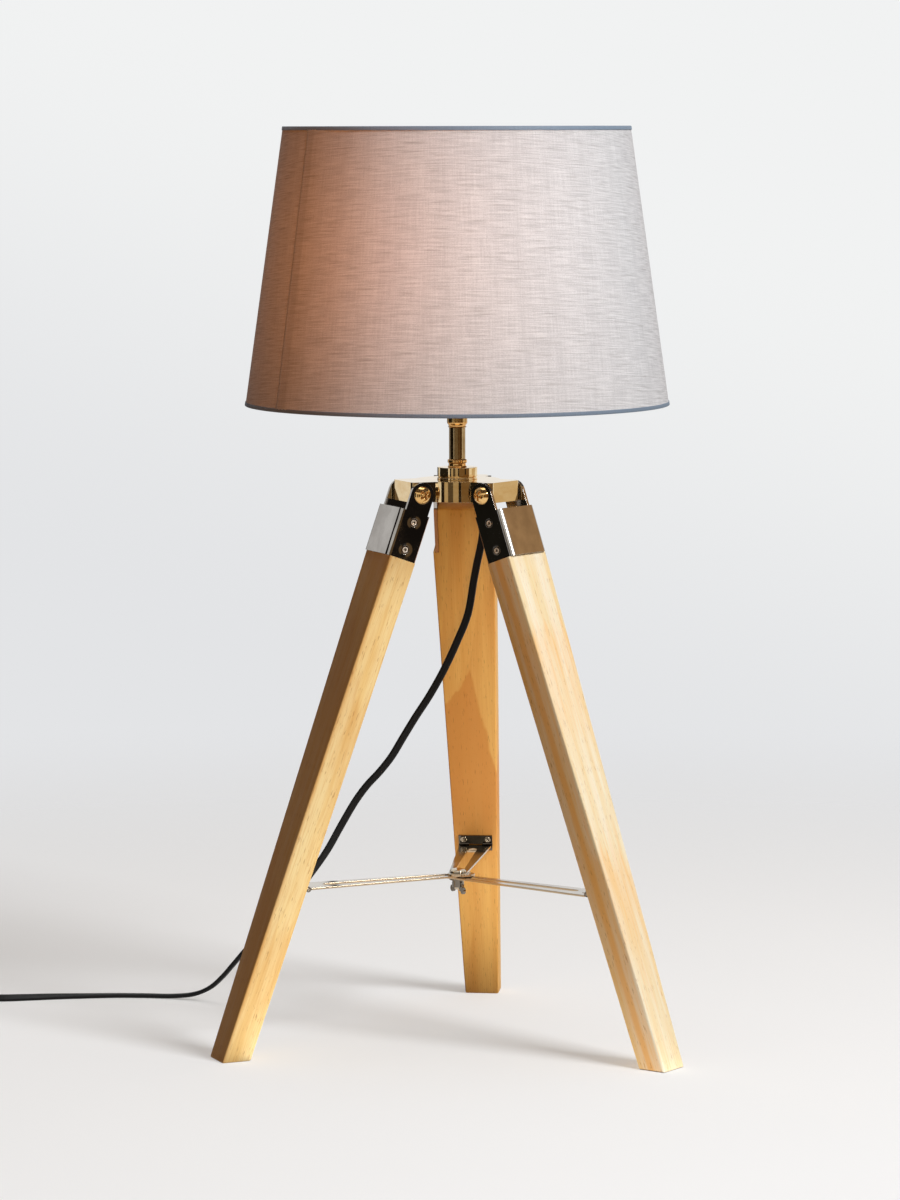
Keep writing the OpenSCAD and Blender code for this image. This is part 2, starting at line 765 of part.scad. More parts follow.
module hinge_screws(bearing)
    color([0.62, 0.58, 0.52]) on_leg(bearing)
        leaf_screws_on() wood_screw(leaf_screw_head_r, leaf_screw_len);

module hinge_pin(bearing)
    color([0.62, 0.58, 0.52]) on_leg(bearing)
        translate([-pin_in, 0, -stay_at]) rotate([90, 0, 0])
            cylinder(r = hinge_pin_r, h = hinge_w, center = true);

function stay_w(x) = stay_root_w + (stay_tip_w - stay_root_w) * x / stay_reach;

module stay_outline() {
    root = knuckle_r + side_play * 2;
    tip_r = stay_tip_w / 2;
    tip_x = stay_reach + stay_past - tip_r;
    difference() {
        union() {
            polygon([
                [root, stay_w(root) / 2], [stay_reach, tip_r], [tip_x, tip_r],
                [tip_x, -tip_r], [stay_reach, -tip_r], [root, -stay_w(root) / 2]
            ]);
            translate([tip_x, 0]) circle(r = tip_r);
            translate([0, -eye_w / 2]) square([root + over, eye_w]);
        }
        translate([slot_from + slot_w / 2, -slot_w / 2])
            square([stay_reach - slot_from - slot_w / 2, slot_w]);
        for (x = [slot_from + slot_w / 2, stay_reach]) translate([x, 0]) circle(r = slot_w / 2);
    }
}

// A stay: a slotted tapered plate with a rolled eye for its hinge pin.
module stay(bearing, step)
    color([0.55, 0.52, 0.49]) on_stay(bearing)
        difference() {
            union() {
                translate([0, 0, step * stay_step - stay_t / 2]) linear_extrude(stay_t) stay_outline();
                rotate([90, 0, 0]) cylinder(r = knuckle_r, h = eye_w, center = true);
                // the tail of the rolled eye, under the plate
                translate([0, -eye_w / 2, -knuckle_r]) cube([4.5 * knuckle_r, eye_w, stay_t]);
            }
            rotate([90, 0, 0]) cylinder(r = hinge_pin_r + pin_play, h = eye_w + 2 * over, center = true);
        }

module centre_bolt()
    color([0.72, 0.66, 0.55])
        translate([0, 0, pin_z]) {
            translate([0, 0, stack_h / 2 + play / 2]) dome(bolt_head_r, bolt_head_h);
            translate([0, 0, -stack_h / 2 - centre_washer_t - nut_h - 2])
                cylinder(r = bolt_r, h = stack_h + centre_washer_t + nut_h + 2 + play);
        }

module centre_washer()
    color([0.6, 0.57, 0.54])
        translate([0, 0, pin_z - stack_h / 2 - centre_washer_t - play / 2])
            pipe(centre_washer_r, bolt_r + play, centre_washer_t);

// A wing nut under the stays: a barrel and two rounded wings that reach down and out.
module wing_nut()
    color([0.45, 0.42, 0.38])
        translate([0, 0, pin_z - stack_h / 2 - centre_washer_t - play]) rotate([0, 0, -54])
            difference() {
                union() {
                    translate([0, 0, -nut_h]) cylinder(r = nut_r, h = nut_h);
                    for (side = [0, 180]) rotate([0, 0, side])
                        translate([0, wing_t / 2, -nut_h]) rotate([90, 0, 0]) linear_extrude(wing_t) {
                            polygon([[0, 0], [nut_r, nut_h * 0.8], [wing_reach - 2.4, 0], [wing_reach - 2.4, -2.2]]);
                            translate([wing_reach - 2.4, nut_h - wing_h]) circle(r = 2.4);
                            translate([nut_r - over, nut_h - wing_h - 0.6])
                                square([wing_reach - 2.4 - nut_r + over, wing_h - 2]);
                        }
                }
                translate([0, 0, -2 * nut_h]) cylinder(r = bolt_r + pin_play, h = 3 * nut_h);
            }

// ---------------------------------------------------------------- lead

module cord_gland()
    color([0.1, 0.1, 0.1])
        translate([gland_at[0], gland_at[1], hub_z]) {
            cylinder(r = gland_neck_r, h = cover_t);
            translate([0, 0, -gland_flange_h]) cylinder(r = gland_flange_r, h = gland_flange_h);
            translate([0, 0, -gland_flange_h - sleeve_len])
                cylinder(r1 = gland_end_r, r2 = gland_neck_r, h = sleeve_len);
        }

// A quarter bend of the lead inside, between two bearings in the upright plane of the grommet.
module lead_bend(at_r, at_z, bend, from)
    translate([at_r, 0, at_z]) rotate([90, 0, 0]) rotate([0, 0, from])
        rotate_extrude(angle = 90) translate([bend, 0]) circle(r = lead_core_r);

// The lead inside the lamp: from the grommet across the hollow and up the rod.
module inner_lead() {
    low_bend = lead_core_z - hub_z - cover_t;
    high_bend = 3;
    color([0.15, 0.15, 0.15]) rotate([0, 0, gland_bearing]) {
        lead_bend(gland_r - low_bend, lead_core_z - low_bend, low_bend, 0);
        translate([high_bend, 0, lead_core_z]) rotate([0, 90, 0])
            cylinder(r = lead_core_r, h = gland_r - low_bend - high_bend);
        lead_bend(high_bend, lead_core_z + high_bend, high_bend, 180);
        translate([0, 0, lead_core_z + high_bend])
            cylinder(r = lead_core_r, h = insert_z - play - lead_core_z - high_bend);
    }
}

// The lead's free stretch, chosen by hand: down from the grommet, in a loose sweep between
// the back and left legs, and along the surface to the coil. Its first point is the
// grommet's end, and its last is where the coil starts.
coil_at = [-392, 60];
coil_base = tie_t + lead_w / 2 + 0.1;
route = [
    [gland_at[0], gland_at[1], hub_z - gland_flange_h - sleeve_len],
    [16.7, 9.8, 360], [15.2, 9.6, 351], [12.8, 9.6, 340], [10.5, 9.8, 328], [6.2, 10.6, 304],
    [-1.7, 11.4, 284], [-11, 12.4, 264], [-21.3, 13.7, 245.5], [-32, 15.6, 229], [-41.2, 18, 214],
    [-50, 21, 199.5], [-59, 24, 188], [-68.6, 27, 177.5], [-77.8, 31, 165], [-88.6, 37.5, 147],
    [-99.5, 45, 128], [-110.5, 53.5, 112], [-124.5, 65.5, 93.5], [-140, 77, 75], [-155, 86, 58],
    [-168, 93, 43.5], [-178.5, 98.5, 31], [-188, 104, 20], [-198, 109.5, 11], [-211, 115, 4.8],
    [-228, 119, 2.2], [-248, 120.5, 1.8], [-270, 119, 1.8], [-292, 115, 1.8], [-314, 109.5, 2],
    [-334, 102.5, 2.35], [-352, 96.5, 2.7], [-368, 93.2, 3.1], [coil_at[0] + lead_w, coil_at[1] + coil_r, coil_base]
];
rings_per_step = 2;
end_dirs = [[0, 0, -1], [-1, 0, 0]];

// A smooth curve through the route's points: each stretch is a cubic whose slopes
// at its ends follow the points on both sides.
function slope(i) =
    i == 0 ? end_dirs[0] * norm(route[1] - route[0])
    : i == len(route) - 1 ? end_dirs[1] * norm(route[i] - route[i - 1])
    : (route[i + 1] - route[i - 1]) / 2;
function route_at(i, u) =
    route[i] * (2 * u * u * u - 3 * u * u + 1) + slope(i) * (u * u * u - 2 * u * u + u)
    + route[i + 1] * (3 * u * u - 2 * u * u * u) + slope(i + 1) * (u * u * u - u * u);
free_line = concat(
    [for (i = [0 : len(route) - 2], k = [0 : rings_per_step - 1]) route_at(i, k / rings_per_step)],
    [route[len(route) - 1]]
);

// Which way the wide side of the flat lead faces: across the view where it hangs,
// lying flat on the surface, and on edge in the coil.
wide_hang = [1, 0, 0];
wide_flat = [0.3, 1, 0];
wide_coil = [0, 0, 1];
turns_flat = [15, 21];   // between these of the route's points it turns flat
turns_edge = [28, 34];   // and between these it turns on edge
function ramp(v, from, to) = min(1, max(0, (v - from) / (to - from)));
function wide_ref(i) =
    let (
        flat = ramp(i / rings_per_step, turns_flat[0], turns_flat[1]),
        edge = ramp(i / rings_per_step, turns_edge[0], turns_edge[1])
    )
        (wide_hang * (1 - flat) + wide_flat * flat) * (1 - edge) + wide_coil * edge;

function unit(v) = v / norm(v);
function tangent(line, i) = unit(line[min(i + 1, len(line) - 1)] - line[max(i - 1, 0)]);

// One ring of the oval section about a point, square to the line, with its wide side
// along the reference.
function oval_ring(at, along, ref, sides) =
    let (wide = unit(ref - (ref * along) * along), thin = cross(along, wide))
        [for (k = [0 : sides - 1])
            at + wide * (lead_w / 2) * cos(360 * k / sides) + thin * (lead_t / 2) * sin(360 * k / sides)];

// A closed tube from rings of equal size: triangles between neighbours and a fan at each end.
module tube_of(rings) {
    n = len(rings);
    m = len(rings[0]);
    points = concat([for (r = rings) each r]);
    sides = [for (i = [0 : n - 2], k = [0 : m - 1], half = [0, 1])
        half == 0
            ? [i * m + k, (i + 1) * m + k, i * m + (k + 1) % m]
            : [i * m + (k + 1) % m, (i + 1) * m + k, (i + 1) * m + (k + 1) % m]];
    first = [for (k = [1 : m - 2]) [0, k, k + 1]];
    last = [for (k = [1 : m - 2]) [(n - 1) * m, (n - 1) * m + k + 1, (n - 1) * m + k]];
    polyhedron(points = points, faces = concat(sides, first, last));
}

module cord()
    color([0.08, 0.08, 0.08])
        tube_of([for (i = [0 : len(free_line) - 1])
            oval_ring(
                free_line[i],
                i == 0 ? end_dirs[0] : i == len(free_line) - 1 ? end_dirs[1] : tangent(free_line, i),
                wide_ref(i), 10)]);

// The coil: in on the lower layer, up over half a turn, out on the upper one, and a
// straight tail down to the plug. Angles start at the coil's back, where the lead arrives.
turn_pitch = lead_t + turn_gap;
layer_pitch = lead_w + turn_gap;
climb_from = 2.5;
climb_to = 3;
rings_per_turn = 24;
function coil_radius(t) =
    t <= climb_to ? coil_r - turn_pitch * t
    : t <= climb_to + 0.5
        ? coil_r - turn_pitch * climb_to
          + (t - climb_to) * 2 * turn_pitch * (climb_to - climb_from + 1)
    : coil_r - turn_pitch * (climb_from - 1) + turn_pitch * (t - climb_to - 0.5);
function coil_height(t) =
    let (u = ramp(t, climb_from, climb_to)) coil_base + layer_pitch * u * u * (3 - 2 * u);
function coil_point(t) =
    [coil_at[0] + coil_radius(t) * cos(90 + 360 * t), coil_at[1] + coil_radius(t) * sin(90 + 360 * t),
     coil_height(t)];
plug_axis_z = plug_h / 2;
coil_end = coil_point(coil_turns);
plug_at = [coil_end[0], coil_end[1] - tail_len, plug_axis_z];
coil_line = concat(
    [[coil_at[0] + lead_w, coil_at[1] + coil_r, coil_base]],
    [for (i = [0 : round(coil_turns * rings_per_turn)]) coil_point(i / rings_per_turn)],
    [[plug_at[0], plug_at[1] + tail_len / 2, (coil_end[2] + plug_axis_z) / 2],
     [plug_at[0], plug_at[1] + lead_w, plug_axis_z], plug_at]
);

module cord_coil()
    color([0.08, 0.08, 0.08])
        tube_of([for (i = [0 : len(coil_line) - 1])
            oval_ring(
                coil_line[i],
                i == 0 ? [-1, 0, 0] : i == len(coil_line) - 1 ? [0, -1, 0] : tangent(coil_line, i),
                wide_coil, 6)]);

module coil_ties() {
    r_in = coil_radius(climb_to) - lead_t / 2 - 0.8;
    r_out = coil_radius(coil_turns) + lead_t / 2 + 0.4;
    h_in = layer_pitch + lead_w + 0.6;
    color("dimgray")
        for (bearing = [0, 250]) translate([coil_at[0], coil_at[1], 0]) rotate([0, 0, bearing])
            translate([0, tie_w / 2, 0]) rotate([90, 0, 0]) linear_extrude(tie_w)
                difference() {
                    translate([r_in - tie_t, 0]) square([r_out - r_in + 2 * tie_t, h_in + 2 * tie_t]);
                    translate([r_in, tie_t]) square([r_out - r_in, h_in]);
                }
}

// ---------------------------------------------------------------- plug

// Places a piece at each pin's root inside the plug, pointing along the pin.
pin_root = 4;
grip_share = 0.45;   // share of the plug's length over which it widens
module plug_pins_on()
    for (side = [-1, 1])
        translate([side * plug_pin_pitch / 2, -plug_sleeve - plug_len + pin_root, 0])
            rotate([90, 0, 0]) children();

// Flat two-pin plug, lying on its broad side, its pins towards -Y.
module plug_body()
    color([0.08, 0.08, 0.08])
        translate(plug_at)
            difference() {
                union() {
                    rotate([90, 0, 0])
                        cylinder(r1 = lead_w / 2 + 0.4, r2 = plug_h / 2 - 1, h = plug_sleeve);
                    hull() {
                        translate([0, -plug_sleeve, 0]) rotate([90, 0, 0])
                            cylinder(r = plug_h / 2 - 1, h = 1, $fn = 32);
                        for (side = [-1, 1])
                            translate([side * (plug_w - plug_h) / 2, -plug_sleeve - plug_len * grip_share, 0])
                                rotate([90, 0, 0])
                                    cylinder(r = plug_h / 2, h = plug_len * (1 - grip_share), $fn = 32);
                    }
                }
                plug_pins_on() cylinder(r = plug_pin_r, h = pin_root + over);
            }

module plug_pins() {
    tip = plug_pin_r * 0.4;
    color("silver")
        translate(plug_at) plug_pins_on() {
            cylinder(r = plug_pin_r, h = pin_root + plug_pin_len - tip);
            translate([0, 0, pin_root + plug_pin_len - tip])
                cylinder(r1 = plug_pin_r, r2 = plug_pin_r - tip, h = tip);
        }
}

// ---------------------------------------------------------------- measurements

function line_len(line) = len(line) < 2 ? 0
    : [for (i = 1, s = norm(line[1] - line[0]); i < len(line);
            i = i + 1, s = s + (i < len(line) ? norm(line[i] - line[i - 1]) : 0)) s][len(line) - 2];
// Least distance between the middle lines of turns that are at least 0.7 turn apart,
// split into how far apart they are across and up; the gap is what the section leaves.
far_pairs = [for (i = [0 : 2 : len(coil_line) - 4], j = [i + round(0.7 * rings_per_turn) : len(coil_line) - 4])
    let (d = coil_line[j] - coil_line[i])
        max(norm([d[0], d[1]]) - lead_t, abs(d[2]) - lead_w)];
echo(free_length = line_len(free_line), coil_length = line_len(coil_line), least_gap = min(far_pairs));
echo(pivot_z = pivot_z, pin_z = pin_z, stay_reach = stay_reach, shade_z = shade_z, plug_at = plug_at,
     globe_z = globe_z, switch_z = switch_z);

leg(back);  // leg_back
leg(left);  // leg_left
leg(right);  // leg_right
bracket(back);  // bracket_back
bracket(left);  // bracket_left
bracket(right);  // bracket_right
bracket_screws(back);  // bracket_screws_back
bracket_screws(left);  // bracket_screws_left
bracket_screws(right);  // bracket_screws_right
stay_hinge(back);  // stay_hinge_back
stay_hinge(left);  // stay_hinge_left
stay_hinge(right);  // stay_hinge_right
hinge_screws(back);  // hinge_screws_back
hinge_screws(left);  // hinge_screws_left
hinge_screws(right);  // hinge_screws_right
hinge_pin(back);  // hinge_pin_back
hinge_pin(left);  // hinge_pin_left
hinge_pin(right);  // hinge_pin_right
stay(back, level[0]);  // stay_back
stay(left, level[1]);  // stay_left
stay(right, level[2]);  // stay_right
centre_bolt();
centre_washer();
wing_nut();
hub();
hub_cover();
cover_screws();
hub_nut();
hub_boss();
pivot_screws();
pivot_washers();
threaded_rod();
lower_collar();
stem_tube();
upper_collar();
holder_cap();
holder_body();
holder_insert();
holder_shell();
holder_contact();
switch_bar();
shade_ring();
bulb_cap();
bulb_globe();
shade_frame();
shade_low_ring();
shade_top_ring();
shade_skin();
shade_hem_top();
shade_hem_bottom();
cord_gland();
inner_lead();
cord();
cord_coil();
coil_ties();
plug_body();
plug_pins();
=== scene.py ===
"""A tripod table lamp: pine legs, a gilt hub, folding steel stays and a linen drum shade."""

import math

import bmesh
import bpy
import numpy as np
from mathutils import Matrix, Vector


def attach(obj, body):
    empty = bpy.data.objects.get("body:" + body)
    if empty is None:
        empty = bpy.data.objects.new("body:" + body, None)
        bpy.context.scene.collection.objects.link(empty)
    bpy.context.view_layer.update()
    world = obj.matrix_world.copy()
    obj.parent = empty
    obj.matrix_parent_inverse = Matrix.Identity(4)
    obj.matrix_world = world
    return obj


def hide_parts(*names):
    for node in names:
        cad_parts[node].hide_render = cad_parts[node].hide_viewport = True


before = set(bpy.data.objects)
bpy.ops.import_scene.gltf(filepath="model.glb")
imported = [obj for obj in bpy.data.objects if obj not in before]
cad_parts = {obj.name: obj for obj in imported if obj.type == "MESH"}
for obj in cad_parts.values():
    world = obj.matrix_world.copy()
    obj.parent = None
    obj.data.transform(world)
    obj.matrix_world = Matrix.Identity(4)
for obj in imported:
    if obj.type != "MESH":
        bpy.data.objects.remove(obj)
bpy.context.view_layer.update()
mm = 0.001

# ---------------------------------------------------------------- camera
# The photograph's own viewpoint, worked out from the legs' edges, the feet, the hub and
# the shade: three metres off, a little above the hub, with a long lens.

pan, tilt, roll = math.radians(6.34), math.radians(90 - 6.156), -0.0019466
camera = bpy.data.objects.new("camera", bpy.data.cameras.new("camera"))
bpy.context.scene.collection.objects.link(camera)
camera.location = (0.33729, -3.0841, 0.64965)
camera.rotation_euler = (Matrix.Rotation(pan, 3, "Z") @ Matrix.Rotation(tilt, 3, "X")
                         @ Matrix.Rotation(roll, 3, "Z")).to_euler()
camera.data.lens = 132.29
camera.data.sensor_fit = "VERTICAL"
camera.data.sensor_height = 36
bpy.context.scene.camera = camera
bpy.context.scene.view_settings.view_transform = "Standard"

# ---------------------------------------------------------------- lead
# A flat twin mains lead in black PVC, extruded with a fine groove between its two cores.
# It leaves the grommet under the hub, sweeps down between the legs, runs along the
# surface, and the rest of its 1.8 m is wound up in two layers.

lead_wide, lead_thick, lead_long = 5.4 * mm, 3.2 * mm, 1.8
coil_middle = np.array([-392.0, 60.0]) * mm
coil_radius, coil_floor, coil_turns = 32.6 * mm, 3.6 * mm, 6.25
lead_route = np.array([
    [16.97, 9.8, 365.34], [16.7, 9.8, 360], [15.2, 9.6, 351], [12.8, 9.6, 340], [10.5, 9.8, 328],
    [6.2, 10.6, 304], [-1.7, 11.4, 284], [-11, 12.4, 264], [-21.3, 13.7, 245.5], [-32, 15.6, 229],
    [-41.2, 18, 214], [-50, 21, 199.5], [-59, 24, 188], [-68.6, 27, 177.5], [-77.8, 31, 165],
    [-88.6, 37.5, 147], [-99.5, 45, 128], [-110.5, 53.5, 112], [-124.5, 65.5, 93.5],
    [-140, 77, 75], [-155, 86, 58], [-168, 93, 43.5], [-178.5, 98.5, 31], [-188, 104, 20],
    [-198, 109.5, 11], [-211, 115, 4.8], [-228, 119, 2.2], [-248, 120.5, 1.8], [-270, 119, 1.8],
    [-292, 115, 1.8], [-314, 109.5, 2], [-334, 102.5, 2.35], [-352, 96.5, 2.7], [-368, 93.2, 3.1],
    [-386.6, 92.6, 3.6],
]) * mm
lead_exit = lead_route[0]


def unit(vectors):
    """Each vector divided by its length."""
    return vectors / np.linalg.norm(vectors, axis=-1, keepdims=True)


def smooth(values, start, end):
    """0 before start and 1 after end, and 3t^2 - 2t^3 between them."""
    t = np.clip((values - start) / (end - start), 0, 1)
    return t * t * (3 - 2 * t)


def through(points, first, last, steps):
    """A smooth line through points: each stretch is the cubic whose slopes at its ends are half
    the way from the point before to the point after, and first and last give the end slopes."""
    slopes = np.empty_like(points)
    slopes[1:-1] = (points[2:] - points[:-2]) / 2
    slopes[0] = np.array(first) * np.linalg.norm(points[1] - points[0])
    slopes[-1] = np.array(last) * np.linalg.norm(points[-1] - points[-2])
    t = np.linspace(0, 1, steps, endpoint=False)[None, :, None]
    p, q, m, n = (v[:, None] for v in (points[:-1], points[1:], slopes[:-1], slopes[1:]))
    line = p * (2 * t**3 - 3 * t**2 + 1) + m * (t**3 - 2 * t**2 + t) \
        + q * (3 * t**2 - 2 * t**3) + n * (t**3 - t**2)
    return np.vstack([line.reshape(-1, 3), points[-1:]])


def wound(turn):
    """The coil's line: in by 3.8 mm a turn on the lower layer, up by 6 mm in its last half turn,
    and out again on the upper one, as points at (radius, angle) round the coil's middle."""
    pitch, layer, lower, upper = 3.8 * mm, 6 * mm, 3, 3.5
    radius = np.where(
        turn <= lower, coil_radius - pitch * turn,
        np.where(turn <= upper, coil_radius - lower * pitch + (turn - lower) * 3 * pitch,
                 coil_radius - 1.5 * pitch + pitch * (turn - upper)))
    angle = np.pi / 2 + 2 * np.pi * turn
    height = coil_floor + layer * smooth(turn, lower - 0.5, lower)
    return np.stack([coil_middle[0] + radius * np.cos(angle),
                     coil_middle[1] + radius * np.sin(angle), height], -1)


def directions(line):
    """The unit direction of a line at each point, from the point before to the point after."""
    ahead = np.vstack([line[1:], line[-1:]])
    behind = np.vstack([line[:1], line[:-1]])
    return unit(ahead - behind)


def carried(line, wide_way, section, along=None):
    """A section carried along a line: a grid of points whose row i is the section's (a, b)
    at line point i, with a along the wide way made square to the line and b across both."""
    along = directions(line) if along is None else along
    wide = unit(wide_way - (wide_way * along).sum(-1, keepdims=True) * along)
    thin = np.cross(along, wide)
    a, b = section[..., 0, None], section[..., 1, None]
    return line[:, None] + a * wide[:, None] + b * thin[:, None]


def shell(points, around=True, ends=True):
    """Points and faces of a grid (rows, columns, 3): neighbours are joined in fours, the last
    column to the first where it goes around, and each end row is closed by one face."""
    rows, columns = points.shape[:2]
    number = np.arange(rows * columns).reshape(rows, columns)
    joined = np.hstack([number, number[:, :1]]) if around else number
    fours = np.stack([joined[:-1, :-1], joined[:-1, 1:], joined[1:, 1:], joined[1:, :-1]], -1)
    faces = fours.reshape(-1, 4).tolist()
    if ends:
        faces += [number[0, ::-1].tolist(), number[-1].tolist()]
    return points.reshape(-1, 3), faces


def piece(name, body, shells, finish, stands_for=(), crease=40, merge=1e-6):
    """A piece of the lamp from one or more shells. Doubled points are merged, the faces are
    turned outwards, edges sharper than crease degrees stay sharp, and it rides on its body."""
    points = np.vstack([p for p, _ in shells])
    starts = np.cumsum([0] + [len(p) for p, _ in shells])
    faces = [[i + start for i in face] for (_, own), start in zip(shells, starts) for face in own]
    mesh = bpy.data.meshes.new(name)
    mesh.from_pydata(points.tolist(), [], faces)
    work = bmesh.new()
    work.from_mesh(mesh)
    bmesh.ops.remove_doubles(work, verts=work.verts, dist=merge)
    bmesh.ops.recalc_face_normals(work, faces=work.faces)
    work.to_mesh(mesh)
    work.free()
    mesh.shade_smooth()
    mesh.set_sharp_from_angle(angle=math.radians(crease))
    made = bpy.data.objects.new(name, mesh)
    bpy.context.scene.collection.objects.link(made)
    mesh.materials.append(finish.material)
    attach(made, body)
    if stands_for:
        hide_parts(*stands_for)
    return made


def tint(red, green, blue):
    """A colour read off the photograph in steps of 0 to 255, as the light it stands for."""
    v = np.array([red, green, blue]) / 255
    return (*np.where(v <= 0.04045, v / 12.92, ((v + 0.055) / 1.055) ** 2.4), 1.0)


class Tap:
    """One socket of a finish. Sums and products of taps and numbers add Math nodes."""

    def __init__(self, finish, socket):
        self.finish, self.socket = finish, socket

    def maths(self, operation, first, second=None):
        values = {0: first} if second is None else {0: first, 1: second}
        return self.finish.node("Math", {"operation": operation}, values)

    def __add__(self, other):
        return self.maths("ADD", self, other)

    __radd__ = __add__

    def __mul__(self, other):
        return self.maths("MULTIPLY", self, other)

    __rmul__ = __mul__

    def __sub__(self, other):
        return self.maths("SUBTRACT", self, other)

    def __rsub__(self, other):
        return self.maths("SUBTRACT", other, self)


class Finish:
    """The finish of a piece, or of the world round it. Its nodes all come from the method node."""

    def __init__(self, name, world=None):
        self.material = world or bpy.data.materials.new(name)
        self.material.use_nodes = True
        self.tree = self.material.node_tree
        self.tree.nodes.clear()

    def node(self, kind, settings=None, sockets=None, output=0):
        """One node: first its settings, a ramp's stops among them, then the value or the link
        of each of its sockets, by name or number. Returns a tap on its output, or the finish
        itself where the node is the last one and has none."""
        made = self.tree.nodes.new("ShaderNode" + kind)
        for key, value in (settings or {}).items():
            if key != "stops":
                setattr(made, key, value)
                continue
            elements = made.color_ramp.elements
            for element, (at, colour) in zip(elements, (value[0], value[-1])):
                element.position, element.color = at, colour
            for at, colour in value[1:-1]:
                elements.new(at).color = colour
        for key, value in (sockets or {}).items():
            if isinstance(value, Tap):
                self.tree.links.new(value.socket, made.inputs[key])
            else:
                made.inputs[key].default_value = value
        return Tap(self, made.outputs[output]) if made.outputs else self

    def place(self, scale=(1, 1, 1), turn=(0, 0, 0), of=None):
        """Where a point is on the piece, turned and stretched for a pattern."""
        of = of or self.node("TexCoord", output="Object")
        return self.node("Mapping", None, {"Vector": of, "Scale": scale, "Rotation": turn})

    def cloud(self, at, scale, detail=2.0, rough=0.5, output=0):
        """Noise of so many spots a metre."""
        return self.node("TexNoise", None, {
            "Vector": at, "Scale": scale, "Detail": detail, "Roughness": rough}, output)

    def between(self, value, low, high, out_low=0.0, out_high=1.0):
        """A value's share of the way from low to high, kept within them, smoothly."""
        return self.node("MapRange", {"interpolation_type": "SMOOTHSTEP"}, {
            0: value, 1: low, 2: high, 3: out_low, 4: out_high})

    def mix(self, share, first, second, how="MIX"):
        """A colour between two others."""
        return self.node("Mix", {"data_type": "RGBA", "blend_type": how},
                         {0: share, 6: first, 7: second}, 2)

    def bump(self, height, depth, strength=1.0):
        """The surface's fine relief, with a depth in metres."""
        return self.node("Bump", None, {"Height": height, "Distance": depth, "Strength": strength})

    def shows(self, surface):
        """The finish with a shader joined to the material's output."""
        return self.node("OutputMaterial", None, {"Surface": surface})

    def done(self, **sockets):
        """The finished surface, from the shader's own sockets."""
        named = {key.replace("_", " "): value for key, value in sockets.items()}
        return self.shows(self.node("BsdfPrincipled", None, named))


def black_pvc():
    """Satin black PVC: nearly even, with a soft mottle in its gloss and a fine skin."""
    f = Finish("black_pvc")
    mottle = f.cloud(f.place(), 260, 3, 0.6)
    fine = f.cloud(f.place(), 2600, 2, 0.5)
    return f.done(
        Base_Color=f.mix(mottle, tint(12, 12, 13), tint(24, 23, 23)), Specular_IOR_Level=0.22,
        Roughness=f.between(mottle, 0.3, 0.7, 0.34, 0.5),
        Normal=f.bump(fine, 0.00004, 0.5))


pvc = black_pvc()
stretch_steps, turn_steps = 8, 84
free_line = through(lead_route, (0, 0, -1), (-1, 0, 0), stretch_steps)
coil_line = wound(np.linspace(0, coil_turns, int(coil_turns * turn_steps) + 1))
plug_at = np.array([-429.35, 36.0, 6.85]) * mm
tail_line = through(
    np.array([coil_line[-1], (coil_line[-1] + plug_at) / 2, plug_at + [0, lead_wide, 0], plug_at]),
    (0, -1, 0), (0, -1, 0), 5)
lead_line = np.vstack([free_line, coil_line, tail_line[1:]])
lead_line = lead_line[np.r_[True, np.linalg.norm(np.diff(lead_line, axis=0), axis=1) > 1e-5]]

# the wide side faces the view where it hangs, the surface where it lies, and the coil's side
stretch = np.arange(len(lead_line)) / stretch_steps
flat = np.clip((stretch - 15) / 6, 0, 1)[:, None]
edge = np.clip((stretch - 28) / 6, 0, 1)[:, None]
lead_way = (np.array([1.0, 0, 0]) * (1 - flat) + np.array([0.3, 1, 0]) * flat) * (1 - edge) \
    + np.array([0, 0, 1.0]) * edge

# its section: two round cores side by side, with the groove between them
core_out, groove_wide, groove_deep = 1.1 * mm, 0.35 * mm, 0.22 * mm
section_turn = np.linspace(0, 2 * np.pi, 24, endpoint=False)
across = np.cos(section_turn) * lead_wide / 2
core = np.clip(np.abs(across) - core_out, 0, None)
groove = groove_deep * np.exp(-(across / groove_wide) ** 2)
height = np.sqrt(np.clip((lead_thick / 2) ** 2 - core**2, 0, None)) - groove
lead_section = np.stack([across, height * np.sign(np.sin(section_turn + 1e-9))], -1)
lead_along = directions(lead_line)
lead_along[0], lead_along[-1] = (0, 0, -1), (0, -1, 0)
lead = piece("lead", "lamp", [shell(carried(lead_line, lead_way, lead_section, lead_along))],
             pvc, ("cord", "cord_coil"))

# ---------------------------------------------------------------- coil ties
# Two soft plastic straps round the coil, each bent to a rounded frame that holds both
# layers of turns together.

tie_wide, tie_thick, tie_tall = 9 * mm, 0.8 * mm, 13.6 * mm
tie_near, tie_far = 18.0 * mm, 40.15 * mm


def superellipse(half_wide, half_tall, power, count):
    """Points of |x/a|^n + |y/b|^n = 1, evenly in angle; half_wide, half_tall may be columns."""
    t = np.linspace(0, 2 * np.pi, count, endpoint=False)
    c, s = np.cos(t), np.sin(t)
    return np.stack([half_wide * np.sign(c) * np.abs(c) ** (2 / power),
                     half_tall * np.sign(s) * np.abs(s) ** (2 / power)], -1)


